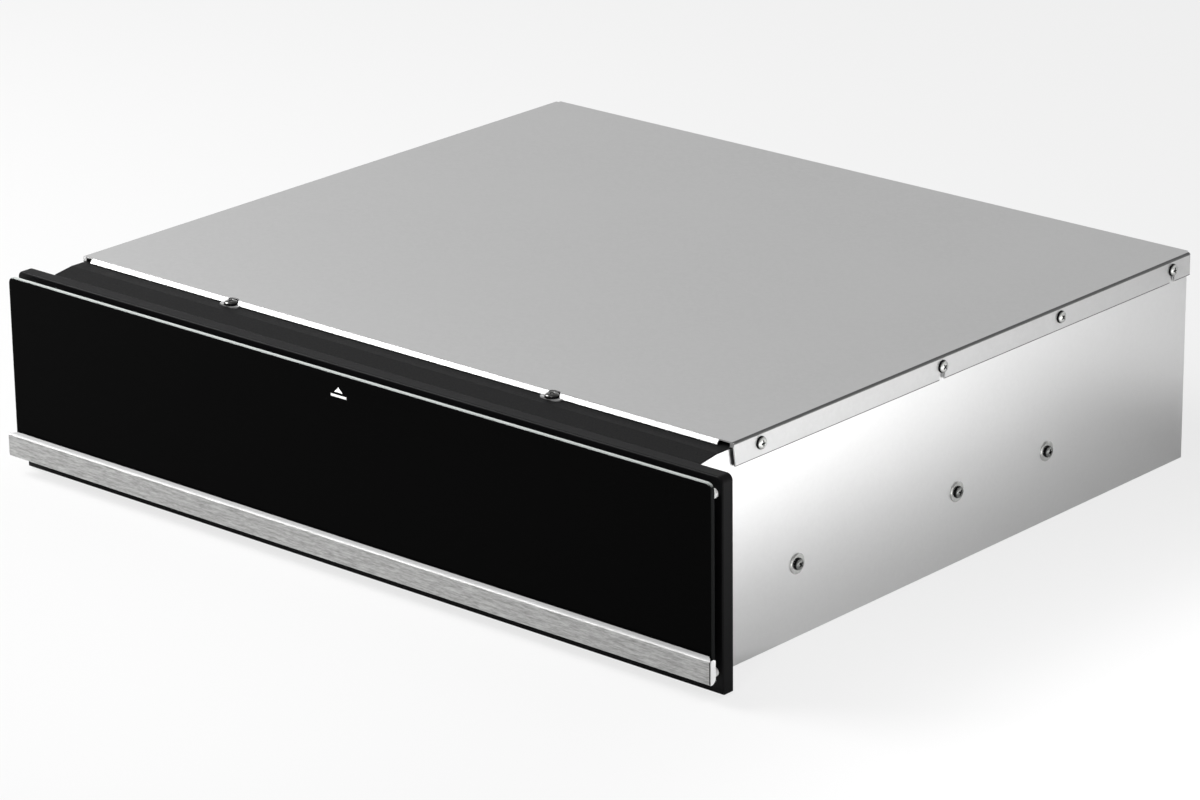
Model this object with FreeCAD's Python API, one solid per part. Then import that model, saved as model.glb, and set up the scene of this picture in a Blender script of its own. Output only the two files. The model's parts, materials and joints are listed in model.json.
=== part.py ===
import FreeCAD, Part
import math
import os

# Built-in warming drawer, in millimetres.  +Z is up, the front faces -Y, and X is
# across the front.  The origin is at the middle of the footprint, on the underside.

Vector = FreeCAD.Vector
AXIS_X = Vector(1, 0, 0)
AXIS_Y = Vector(0, 1, 0)
AXIS_Z = Vector(0, 0, 1)

# ---- driving dimensions -------------------------------------------------------
# housing of folded sheet
housing_width = 550.0
cover_depth = 462.0
housing_height = 141.5
sheet = 0.8
fold_radius = 0.8
hem_gap = 0.5               # hollow of the hem along each side flange of the cover
hem_height = 11.0
hem_end_cut = 8.0           # hem's inner leaf starts this far behind the cover's front edge
flange_gap = 0.3            # hem to side panel
cover_flange_height = 15.6
cover_lip_height = 3.3
lip_angle = 40.0            # how far the lip leans forward from upright, in degrees
lip_end_gap_left = 9.0      # the lip stops short of each corner
lip_end_gap_right = 11.0
flange_rake = 2.0           # side flange's front end leans back this far at its lower edge
corner_tab = 3.0            # tab that closes the cover's front corner above the shelf
side_flange_width = 12.0
rear_step = 2.2             # side panels stop this far short of the cover's rear edge
rear_panel_inset = 0.5      # rear panel's inner face behind the side panels' ends
rear_panel_lift = 20.0      # rear panel's lower edge above the underside
rear_flange_depth = 10.0
base_flange_height = 8.0
base_rear_flange_height = 32.0
base_corner_relief = 3.0

# black front frame and the sloping shelf behind it
frame_overhang = 22.5       # frame beyond the housing at each side
frame_drop = 5.5            # frame's top edge below the cover
frame_lift = 1.0            # frame's lower edge above the underside
frame_depth = 9.0
frame_setback = 28.0        # frame's rear face in front of the cover's front edge
shelf_flat = 12.5           # level part of the shelf in front of the cover, before its slope
frame_wall = 2.5
frame_bar_top = 11.0
frame_bar_low = 10.0
frame_side_cover = 1.1      # opening's side inside the side panel's inner face
frame_corner = 4.0          # upper corners; the lower ones are square
frame_edge_round = 1.2
frame_rib = 1.6
frame_rib_pitch = 60.0
frame_side_rib_pitch = 18.0
frame_boss_radius = 5.0
frame_boss_gap = 1.8        # bosses of the frame screws to the side panel's heads
frame_screw_low = 20.0      # lower frame screws above the frame's lower edge
frame_screw_drop = 19.0     # upper frame screws below the frame's top edge
opening_corner = 3.0
shelf_tail = 22.0           # part of the shelf that lies under the cover
shelf_front_flange = 10.0
frame_flange_reach = 20.0   # side panel's flange behind the frame
frame_flange_low = 3.0      # flange's lower end above the underside
frame_flange_drop = 4.0     # flange's upper end below the frame's top edge

# door glass and handle trim
glass_thickness = 3.0
glass_inset = 0.7           # glass's side edge inside the frame's
glass_drop = 1.5            # glass's top edge below the frame's
glass_corner = 4.5
glass_corner_low = 1.0
glass_chamfer = 0.5
glass_gap = 6.0             # glass to frame, which leaves room for the push
push_travel = 2.5
trim_overhang = 2.2         # trim beyond the glass at each side
trim_height = 16.0
trim_bottom = 11.6
trim_reach = 5.2            # trim's face in front of the glass
trim_wall = 1.0
trim_bend = 1.0
trim_mitre = 4.4            # top flange is cut back this far at each end, beside the glass
trim_cap = 1.2
trim_cap_lap = 0.6          # cap's reach behind the glass's face
trim_cap_round = 3.6
trim_cap_edge = 0.5         # cap's other corners
bumper_radius = 3.0
bumper_height = 3.3
bumper_dome = 1.6           # domed part of the bumper's height
bumper_inset = 6.2          # bumper's centre from the frame's side edge
bumper_low = 14.5
bumper_drop = 10.6          # upper bumpers below the frame's top edge

# drawer tub
tub_front_wall = 4.0        # from the cover's front edge
tub_rear_space = 60.0       # from the tub's rear wall to the cover's rear edge
tub_floor = 15.0
tub_drop = 12.0             # tub's rim below the top of the frame's opening
tub_rim = 4.0
tub_corner = 2.5
front_pan_inset = 7.0       # pan's side inside the frame's opening
fascia_thickness = 2.5
fascia_skirt = 6.0
fascia_wall = 1.6
mat_thickness = 2.0
mat_rib = 0.8
mat_rib_width = 6.0
mat_rib_pitch = 20.0
mat_margin = 9.0
mat_border = 8.0
baffle_setback = 71.0       # baffle from the tub's rear wall
baffle_drop = 5.2           # baffle's top below the tub's rim
baffle_slot_width = 6.0
baffle_slot_height = 52.0
baffle_slot_pitch = 20.0
baffle_slots = 8            # at each side of the fan
baffle_slot_start = 75.0
grille_radius = 30.0
grille_slot = 3.6
grille_pitch = 6.4

# telescopic slides
slide_thickness = 12.7
slide_height = 45.0
slide_z = 47.2
slide_front = 10.0
slide_rear_space = 52.0     # from the slide's end to the cover's rear edge
slide_overlap = 15.0        # what stays engaged at full travel
rail_sheet = 1.2
rail_flange = 1.5
rail_lip_outer = 11.0       # how far each rail's flanges reach from the side panel
rail_lip_middle = 11.6
rail_lip_inner = 7.0        # inner rail's, from the tub's side
middle_rail_gap = 1.3       # outer rail's web to middle rail's
ball_radius = 1.6
ball_gap = 2.4              # between the flanges that the balls run in
outer_ball_reach = 8.1      # ball rows from the side panel
inner_ball_reach = 8.6
groove_clearance = 0.05
cage_sheet = 0.7
cage_web = 0.5
outer_cage_gap = 0.3        # cage web to middle rail's web
inner_cage_gap = 0.8
outer_cage_reach = 10.6
inner_cage_reach = 11.3
cage_margin = 8.0           # cage's end stays this far inside the rails at full travel
cage_end = 15.0             # cage's end beyond its last ball
balls_per_row = 4

# fasteners
cover_screw_front = 24.5
cover_screw_second = 198.0
cover_screw_third = 319.0
cover_screw_rear_inset = 22.0
open_slot_screws = (1, 3)   # these sit in slots open at the flange's edge
open_slot_width = 5.4
cover_screw_drop = 6.7      # below the cover's top
cover_screw_head = 4.1
cover_screw_length = 5.0
front_screw_x = 136.0
front_screw_setback = 2.6
front_screw_head = 4.8
front_screw_length = 6.0
front_ear_width = 16.0
front_ear_reach = 4.0
front_ear_corner = 3.5
rear_screw_inset = 31.8     # outermost rear screws inside the side panel
rear_screw_drop = 8.5
slide_screw_places = (61.0, 217.0, 310.0)
slide_screw_head = 3.9
rail_screw_front = 40.0
rail_screw_middle = 200.0
rail_screw_rear_inset = 38.0
rail_screw_head = 3.2
rail_screw_length = 4.0
washer_radius = 6.6
washer_thickness = 1.1
washer_bevel = 0.6
screw_radius = 2.0
screw_clearance = 0.2
thread_clearance = 0.05
head_height = 2.4

# hot-air unit behind the baffle
ring_clearance = 1.5        # ring to the fan space's floor and cover
ring_tube = 3.2
ring_setback = 13.0         # ring's centre plane behind the baffle
ring_bend = 8.0
ring_tail = 22.0
ring_gap_angle = 16.0
fan_clearance = 4.3         # blade tips to ring
fan_hub_radius = 9.0
fan_hub_round = 2.5
fan_depth = 12.0
fan_blades = 7
fan_start = 8.0             # blade edge behind the baffle
blade_thickness = 0.9
blade_root_sunk = 1.5
shaft_radius = 2.0
shaft_clearance = 0.05
shaft_nose = 2.0
shaft_rear = 8.0            # shaft's end behind the stack
clip_size = 7.0
motor_size = 46.0
motor_limb = 8.0            # stack's upper limb above its round part
motor_corner = 3.0
motor_stack = 18.0
motor_setback = 32.0        # lamination stack behind the baffle
rotor_radius = 12.0
rotor_gap = 0.4
winding_inner = 7.0
winding_outer = 15.0
winding_bulge = 5.0
winding_yoke = 6.0          # iron between rotor bore and winding window
window_rise = 2.0           # winding window's top above the stack's round part
bridge_setback = 6.0
bridge_sheet = 1.6
bridge_width = 12.0
bridge_half = 21.0
bridge_post = 17.0
bridge_post_width = 8.0
bearing_radius = 5.0
bearing_length = 5.0
bracket_sheet = 1.2
mount_inner = 18.0
mount_outer = 30.0
mount_foot = 18.0
mount_height = 14.0
mount_drop = 20.0           # mount's lower edge below the shaft
cutout_x = 62.0
cutout_drop = 10.5          # cut-out's axis inside the ring's top
cutout_radius = 8.0
cutout_depth = 8.0
cutout_flange = 30.0
cutout_flange_height = 10.0

# controls in the fascia
knob_x = 190.0
knob_radius = 13.0
knob_height = 9.0
knob_flutes = 18
flute_radius = 1.0
spindle_radius = 3.0
spindle_length = 14.5       # below the fascia
spindle_end = 6.0           # above the fascia
regulator_length = 34.0
regulator_width = 28.0
regulator_depth = 20.0
regulator_neck = 7.0
regulator_neck_length = 4.0
blade_terminal = 3.2        # width of the push-on terminals
blade_terminal_sheet = 0.8
blade_terminal_length = 7.0
switch_x = 130.0
rocker_length = 16.0
rocker_width = 10.0
rocker_tilt = 8.0
rocker_drop = 2.4           # rocker's axis below the fascia's top
rocker_rise = 3.6
rocker_pin = 1.0
switch_wall = 1.4
switch_depth = 16.0
bezel_reach = 1.5
bezel_height = 1.2
lamp_x = 95.0
lamp_radius = 3.5
lamp_length = 12.0

# touch latch, terminal block and cable inlet at the rear
latch_z = 60.0
plunger_radius = 5.0
plunger_tip_radius = 7.0
plunger_head = 3.0
plunger_ratio = 0.02        # plunger's stroke as a share of the drawer's
plunger_overlap = 14.0      # part of the stem that stays in its bore when it is out
latch_gap = 4.0             # head to latch body at rest
latch_size = 24.0
latch_corner = 3.0
latch_length = 40.0
latch_foot = 16.0
latch_screw_reach = 9.0     # foot screws outside the latch's body
latch_bracket_inset = 4.0
striker_size = 30.0
striker_thickness = 2.0
inlet_x = 200.0
inlet_z = 62.0
inlet_bore = 4.2
inlet_body = 8.0
inlet_flange = 11.0
inlet_inside = 9.0          # inlet's length inside the rear panel
inlet_reach = 6.0           # inlet's end behind the cover's rear edge
terminal_setback = 28.0     # terminal block in front of the rear panel
terminal_length = 48.0
terminal_width = 22.0
terminal_height = 18.0
terminal_pitch = 14.0
terminal_well = 2.6
terminal_mouth = 2.4

# vents
base_slot_length = 44.0
base_slot_width = 5.0
base_slot_pitch = 18.0
base_slot_start = 80.0
base_slot_inset = 82.0      # slots' middle in front of the cover's rear edge
base_slots = 7
rear_slot_length = 46.0
rear_slot_width = 4.0
rear_slot_pitch = 12.0
rear_slot_start = 40.0
rear_slot_z = 85.0
rear_slots = 9

# cabinet fixing holes in the front frame
fixing_radius = 2.4
fixing_inset = 10.5
fixing_spacing = 70.0

# fits
fit_gap = 0.3
seat_gap = 0.1

# ---- derived places -----------------------------------------------------------
screw_hole = screw_radius + screw_clearance
thread_hole = screw_radius + thread_clearance
frame_width = housing_width + 2 * frame_overhang
glass_width = frame_width - 2 * glass_inset
trim_width = glass_width + 2 * trim_overhang
front_reach = frame_setback + frame_depth + glass_gap + glass_thickness + trim_reach
cover_front = front_reach - (front_reach + cover_depth + inlet_reach) / 2
cover_rear = cover_front + cover_depth
frame_rear = cover_front - frame_setback
frame_front = frame_rear - frame_depth
glass_rear = frame_front - glass_gap
glass_front = glass_rear - glass_thickness
trim_front = glass_front - trim_reach

hem_thickness = 2 * sheet + hem_gap
side_outer = housing_width / 2 - hem_thickness - flange_gap
side_inner = side_outer - sheet
side_rear = cover_rear - rear_step
rear_panel_y = side_rear + rear_panel_inset
cover_under = housing_height - sheet
shelf_top = housing_height - cover_lip_height
shelf_end = cover_front + shelf_tail

frame_top = housing_height - frame_drop
frame_middle = (frame_lift + frame_top) / 2
glass_top = frame_top - glass_drop
trim_top = trim_bottom + trim_height
opening_x = side_inner - frame_side_cover
opening_low = frame_lift + frame_bar_low
opening_top = frame_top - frame_bar_top
bumper_high = frame_top - bumper_drop
fixing_x = frame_width / 2 - fixing_inset
fixing_heights = (frame_middle - fixing_spacing / 2, frame_middle + fixing_spacing / 2)
frame_screw_x = side_outer + frame_boss_radius + screw_radius + 2 * thread_clearance + frame_boss_gap
frame_screw_heights = (frame_lift + frame_screw_low, frame_top - frame_screw_drop)

slide_inner = side_inner - slide_thickness
slide_length = cover_depth - slide_front - slide_rear_space
drawer_travel = slide_length - slide_overlap
rail_start = cover_front + slide_front
cage_start = drawer_travel / 4 + cage_margin
cage_length = slide_length - drawer_travel / 2 - 2 * cage_margin
rail_screw_places = (rail_screw_front, rail_screw_middle, slide_front + slide_length - rail_screw_rear_inset)

tub_x = slide_inner
tub_front = cover_front + tub_front_wall
tub_rear = cover_rear - tub_rear_space
tub_top = opening_top - tub_drop
baffle_front = tub_rear - sheet - baffle_setback
baffle_rear = baffle_front + sheet
baffle_low = tub_floor + sheet
baffle_top = tub_top - baffle_drop
front_pan_x = opening_x - front_pan_inset
fascia_under = tub_top - fascia_thickness
control_y = (glass_rear + tub_front) / 2
rocker_z = tub_top - rocker_drop

fan_z = (baffle_low + baffle_top) / 2
ring_radius = fan_z - baffle_low - sheet - ring_tube - ring_clearance
fan_radius = ring_radius - ring_tube - fan_clearance
motor_front = baffle_rear + motor_setback
motor_rear = motor_front + motor_stack
window_low = fan_z + rotor_radius + winding_yoke
window_high = fan_z + motor_size / 2 + window_rise

striker_rear = tub_rear + striker_thickness
plunger_tip = striker_rear + push_travel + fit_gap
plunger_travel = plunger_ratio * drawer_travel
latch_front = plunger_tip + plunger_head + latch_gap
latch_foot_x = latch_size / 2 + latch_screw_reach
latch_foot_y = latch_front + latch_length / 2
terminal_y = rear_panel_y - terminal_setback

cover_screw_places = (cover_screw_front, cover_screw_second, cover_screw_third,
                      cover_depth - cover_screw_rear_inset)
cover_screw_z = housing_height - cover_screw_drop
rear_screw_z = housing_height - rear_screw_drop
rear_screw_x = side_inner - rear_screw_inset
rear_screw_places = (-rear_screw_x, -rear_screw_x / 3, rear_screw_x / 3, rear_screw_x)


# ---- helpers ------------------------------------------------------------------
def box(x0, x1, y0, y1, z0, z1):
    return Part.makeBox(x1 - x0, y1 - y0, z1 - z0, Vector(x0, y0, z0))


def rod(radius, start, direction, length):
    return Part.makeCylinder(radius, length, start, direction)


def fuse(shapes):
    return shapes[0].multiFuse(shapes[1:]).removeSplitter()


def cut(shape, tools):
    return shape.cut(tools) if tools else shape


def mirrored(shape):
    return shape.mirror(Vector(0, 0, 0), AXIS_X)


def on_xy(z):
    return lambda u, v: Vector(u, v, z)


def on_xz(y):
    return lambda u, v: Vector(u, y, v)


def on_yz(x):
    return lambda u, v: Vector(x, u, v)


def rounded_face(points, radii, place):
    """Face of a closed outline whose corners are rounded where a radius is given."""
    edges = []
    starts = []
    ends = []
    count = len(points)
    for i in range(count):
        corner = Vector(*points[i], 0)
        before = (Vector(*points[i - 1], 0) - corner).normalize()
        after = (Vector(*points[(i + 1) % count], 0) - corner).normalize()
        radius = radii[i]
        if radius <= 0:
            starts.append(corner)
            ends.append(corner)
            edges.append(None)
            continue
        half = before.getAngle(after) / 2
        reach = radius / math.tan(half)
        first = corner + before * reach
        last = corner + after * reach
        bisector = (before + after).normalize()
        middle = corner + bisector * (radius / math.sin(half) - radius)
        starts.append(first)
        ends.append(last)
        arc = Part.Arc(place(first.x, first.y), place(middle.x, middle.y), place(last.x, last.y))
        edges.append(arc.toShape())
    outline = []
    for i in range(count):
        if edges[i] is not None:
            outline.append(edges[i])
        here = ends[i]
        there = starts[(i + 1) % count]
        if (there - here).Length > 1e-6:
            outline.append(Part.LineSegment(place(here.x, here.y), place(there.x, there.y)).toShape())
    return Part.Face(Part.Wire(outline))


def plate(points, radii, place, along):
    """Solid plate: a rounded outline drawn out along a vector."""
    return rounded_face(points, radii, place).extrude(along)


def rectangle(u0, u1, v0, v1):
    return [(u0, v0), (u1, v0), (u1, v1), (u0, v1)]


def bent_sheet(path, thickness, radius, place, along):
    """Sheet folded along an open path.  The metal lies to the left of the path."""
    points = [Vector(*p, 0) for p in path]
    inner = []
    outer_radii = []
    inner_radii = []
    for i, point in enumerate(points):
        before = (point - points[i - 1]).normalize() if i > 0 else None
        after = (points[i + 1] - point).normalize() if i < len(points) - 1 else None
        one = before or after
        two = after or before
        left_one = Vector(-one.y, one.x, 0)
        left_two = Vector(-two.y, two.x, 0)
        mitre = (left_one + left_two).normalize()
        inner.append(point + mitre * (thickness / mitre.dot(left_one)))
        turn = one.cross(two).z
        if before is None or after is None or abs(turn) < 0.02:
            outer_radii.append(0)
            inner_radii.append(0)
        elif turn > 0:
            outer_radii.append(radius + thickness)
            inner_radii.append(radius)
        else:
            outer_radii.append(radius)
            inner_radii.append(radius + thickness)
    outline = [(p.x, p.y) for p in points] + [(p.x, p.y) for p in reversed(inner)]
    return plate(outline, outer_radii + inner_radii[::-1], place, along)


def slot(length, width, centre, across, through, depth):
    """Obround cutter: long side along `across`, drawn `depth` to both sides of the centre."""
    side = through.cross(across).normalize()
    half = (length - width) / 2
    radius = width / 2
    low = centre - through * depth
    a = low - across * half
    b = low + across * half
    edges = [
        Part.LineSegment(a + side * radius, b + side * radius).toShape(),
        Part.Arc(b + side * radius, b + across * radius, b - side * radius).toShape(),
        Part.LineSegment(b - side * radius, a - side * radius).toShape(),
        Part.Arc(a - side * radius, a - across * radius, a + side * radius).toShape(),
    ]
    return Part.Face(Part.Wire(edges)).extrude(through * (2 * depth))


def revolved(profile, start, direction):
    """Revolve a closed (radius, height) outline and stand it along a direction."""
    points = [Vector(r, 0, h) for r, h in profile]
    shape = Part.Face(Part.makePolygon(points + [points[0]])).revolve(Vector(0, 0, 0), AXIS_Z, 360)
    shape.Placement = FreeCAD.Placement(start, FreeCAD.Rotation(AXIS_Z, direction))
    return shape


def pan_screw(head_radius, length, start, direction):
    """Pan-head screw.  It is seated at `start`, with its head standing along `direction`."""
    crown = 0.55 * head_radius
    edge = 0.4 * head_height
    shank = [(0, -length), (screw_radius, -length), (screw_radius, 0), (head_radius, 0)]
    head = [(head_radius, edge), (0.86 * head_radius, 0.8 * head_height), (crown, head_height),
            (0, head_height)]
    return revolved(shank + head, start, direction)


def upright_edges(shape):
    """Edges that run straight up."""
    return [e for e in shape.Edges if abs(e.tangentAt(e.FirstParameter).z) > 0.999]


def y_at(distance):
    """Place along Y of a distance behind the cover's front edge."""
    return cover_front + distance


# ---- housing ------------------------------------------------------------------
def side_panel():
    """Right side panel, with its top flange and its flange behind the front frame."""
    front = frame_rear
    shelf_under = shelf_top - sheet - seat_gap / 2
    fold = sheet + fold_radius
    sloped = frame_setback - shelf_flat
    slope = (shelf_top - frame_top) / sloped
    wall = plate(
        [(front, 0), (side_rear, 0), (side_rear, cover_under), (shelf_end + fit_gap, cover_under),
         (shelf_end + fit_gap, shelf_under), (cover_front - shelf_flat, shelf_under),
         (front + fold, shelf_under - slope * (sloped - fold)), (front, frame_top - 2 * fold)],
        [0] * 8, on_yz(side_inner), AXIS_X * sheet)
    top = bent_sheet(
        [(side_outer, cover_under - 2 * fold_radius - sheet), (side_outer, cover_under),
         (side_inner - side_flange_width, cover_under)],
        sheet, fold_radius, on_xz(shelf_end + fit_gap), AXIS_Y * (side_rear - shelf_end - fit_gap))
    wall = wall.cut(box(side_inner - 1, side_outer + 1, shelf_end + fit_gap, side_rear,
                        cover_under - 2 * fold_radius - sheet, housing_height))
    flange = box(side_inner, side_outer + frame_flange_reach, front, front + sheet,
                 frame_flange_low, frame_top - frame_flange_drop)
    panel = fuse([wall, top, flange])
    holes = []
    for place in slide_screw_places:
        holes.append(rod(screw_hole, Vector(side_inner - 1, y_at(place), slide_z), AXIS_X, 4))
    for place in cover_screw_places:
        holes.append(rod(thread_hole, Vector(side_inner - 1, y_at(place), cover_screw_z), AXIS_X, 4))
    for z in fixing_heights:
        holes.append(rod(fixing_radius, Vector(fixing_x, front - 1, z), AXIS_Y, 4))
    for z in frame_screw_heights:
        holes.append(rod(thread_hole, Vector(frame_screw_x, front - 1, z), AXIS_Y, 4))
    return cut(panel, holes)


def base_panel():
    """Bottom tray with upturned flanges and cooling slots."""
    x = side_inner - thread_clearance
    front = frame_rear + sheet + seat_gap
    rear = rear_panel_y - seat_gap
    relief = base_corner_relief
    parts = [box(-x, x, front, rear, 0, sheet)]
    for sign in (-1, 1):
        low = min(sign * x, sign * (x - sheet))
        parts.append(box(low, low + sheet, front + relief, rear - relief, 0, base_flange_height))
    parts.append(box(-x + relief, x - relief, front, front + sheet, 0, base_flange_height))
    parts.append(box(-x + relief, x - relief, rear - sheet, rear, 0, base_rear_flange_height))
    cuts = []
    for sign in (-1, 1):
        for i in range(base_slots):
            centre = Vector(sign * (base_slot_start + base_slot_pitch * i), cover_rear - base_slot_inset, 0)
            cuts.append(slot(base_slot_length, base_slot_width, centre, AXIS_Y, AXIS_Z, 2 * sheet))
        cuts.append(rod(thread_hole, Vector(sign * latch_foot_x, latch_foot_y, -sheet), AXIS_Z, 3 * sheet))
    return cut(fuse(parts), cuts)


def rear_panel():
    """Rear sheet with forward flanges, vent slots and the hole for the cable inlet."""
    x = side_inner - thread_clearance
    front = rear_panel_y - rear_flange_depth
    top = cover_under - thread_clearance
    path = [(x, front), (x, rear_panel_y + sheet), (-x, rear_panel_y + sheet), (-x, front)]
    panel = bent_sheet(path, sheet, fold_radius, on_xy(rear_panel_lift), AXIS_Z * (top - rear_panel_lift))
    # the upper edge is notched round the side panels' top flanges
    notch = side_flange_width + fold_radius
    notches = [box(sign * x - notch, sign * x + notch, front - 1, side_rear + seat_gap,
                   cover_under - sheet - fold_radius - seat_gap, housing_height) for sign in (-1, 1)]
    # below the base's rear flange only the flat sheet stays
    notches.append(box(-x - 1, x + 1, front - 1, rear_panel_y, 0, base_rear_flange_height + 1))
    cuts = [rod(inlet_body + seat_gap, Vector(inlet_x, rear_panel_y - 1, inlet_z), AXIS_Y, 4)]
    for sign in (-1, 1):
        for i in range(rear_slots):
            centre = Vector(sign * (rear_slot_start + rear_slot_pitch * i), rear_panel_y, rear_slot_z)
            cuts.append(slot(rear_slot_length, rear_slot_width, centre, AXIS_Z, AXIS_Y, 2 * sheet))
    for place in rear_screw_places:
        cuts.append(rod(thread_hole, Vector(place, rear_panel_y - 2, rear_screw_z), AXIS_Y, 6))
    return cut(panel, notches + cuts)


def flange_hem():
    """Hem along the right side flange: the flange's edge turned up inside with a hollow in it."""
    x = housing_width / 2
    low = housing_height - cover_flange_height
    outer = hem_thickness / 2
    centre = Vector(x - outer, cover_front, low + outer)
    fold = rod(outer, centre, AXIS_Y, cover_depth).cut(rod(hem_gap / 2, centre, AXIS_Y, cover_depth))
    fold = fold.common(box(x - 2 * outer, x, cover_front, cover_rear, low, centre.z))
    leaf = x - hem_thickness
    inner = box(leaf, leaf + sheet, cover_front + hem_end_cut, cover_rear, centre.z, low + hem_height)
    return [fold, inner]


def cover_lip():
    """Lip folded down and forward from the cover's front edge, with its end on the shelf."""
    x = housing_width / 2
    lean = math.radians(lip_angle)
    low = shelf_top + sheet * math.sin(lean) + thread_clearance
    reach = (housing_height - low) * math.tan(lean)
    path = [(cover_front + sheet + fold_radius, housing_height), (cover_front, housing_height),
            (cover_front - reach, low)]
    length = 2 * x - lip_end_gap_left - lip_end_gap_right
    return bent_sheet(path, sheet, fold_radius, on_yz(-x + lip_end_gap_left), AXIS_X * length)


def top_cover():
    """Cover sheet with its side flanges, front lip, screw ears and rear flange."""
    x = housing_width / 2
    low = housing_height - cover_flange_height
    edge = low + hem_thickness / 2
    shell = bent_sheet([(x, edge), (x, housing_height), (-x, housing_height), (-x, edge)],
                       sheet, fold_radius, on_xz(cover_front), AXIS_Y * cover_depth)
    hem = flange_hem()
    # the lip's bend takes the place of the flat sheet's front edge
    shell = shell.cut(box(-x + lip_end_gap_left, x - lip_end_gap_right, cover_front - 1,
                          cover_front + sheet + fold_radius, low, housing_height + 1))
    rear = box(-side_inner, side_inner, cover_rear - sheet, cover_rear, low, cover_under + sheet / 2)
    tab = box(x - corner_tab, x - sheet / 2, cover_front, cover_front + sheet, shelf_top + seat_gap,
              cover_under + sheet / 2)
    parts = [shell, cover_lip(), rear, tab, mirrored(tab)] + hem + [mirrored(piece) for piece in hem]
    # the side flanges end with the side panels, clear of the rear flange, and lean back at the front
    corner = box(side_inner, x + 1, side_rear, cover_rear + 1, low - 1, housing_height + 1)
    rake = plate([(cover_front - 1, low), (cover_front + flange_rake, low), (cover_front, shelf_top),
                  (cover_front - 1, shelf_top)], [0] * 4, on_yz(side_outer), AXIS_X * (x + 1 - side_outer))
    reliefs = [corner, mirrored(corner), rake, mirrored(rake)]
    for sign in (-1, 1):
        centre = Vector(sign * front_screw_x, cover_front - front_screw_setback, shelf_top)
        half = front_ear_width / 2
        outline = rectangle(centre.x - half, centre.x + half, centre.y - front_ear_reach, cover_front)
        ear = plate(outline, [front_ear_corner, front_ear_corner, 0, 0], on_xy(shelf_top), AXIS_Z * sheet)
        parts.append(ear)
        reliefs.append(rod(front_screw_head + fit_gap, centre + AXIS_Z * sheet, AXIS_Z, 5))
        reliefs.append(rod(screw_hole, centre - AXIS_Z, AXIS_Z, 4))
    for sign in (-1, 1):
        for i, place in enumerate(cover_screw_places):
            centre = Vector(sign * x, y_at(place), cover_screw_z)
            half = open_slot_width / 2 if i in open_slot_screws else screw_hole
            reliefs.append(rod(half, centre - AXIS_X * 3, AXIS_X, 6))
            if i in open_slot_screws:
                reliefs.append(box(centre.x - 3, centre.x + 3, centre.y - half, centre.y + half,
                                   low - 1, cover_screw_z))
    for place in rear_screw_places:
        reliefs.append(rod(screw_hole, Vector(place, cover_rear - 3, rear_screw_z), AXIS_Y, 6))
    return cut(fuse(parts), reliefs)


def front_shelf():
    """Black sheet that runs level from the cover's lip and then slopes down to the frame."""
    path = [(shelf_end, shelf_top), (cover_front - shelf_flat, shelf_top), (frame_rear, frame_top),
            (frame_rear, frame_top - shelf_front_flange)]
    shelf = bent_sheet(path, sheet, fold_radius, on_yz(-side_outer), AXIS_X * (2 * side_outer))
    relief = shelf_front_flange / 2
    trims = [box(sign * side_outer - relief, sign * side_outer + relief, frame_rear - 1,
                 frame_rear + sheet + seat_gap, 0, frame_top - sheet - seat_gap) for sign in (-1, 1)]
    for sign in (-1, 1):
        trims.append(rod(thread_hole, Vector(sign * front_screw_x, cover_front - front_screw_setback,
                                             shelf_top - 4), AXIS_Z, 6))
    return cut(shelf, trims)


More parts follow.
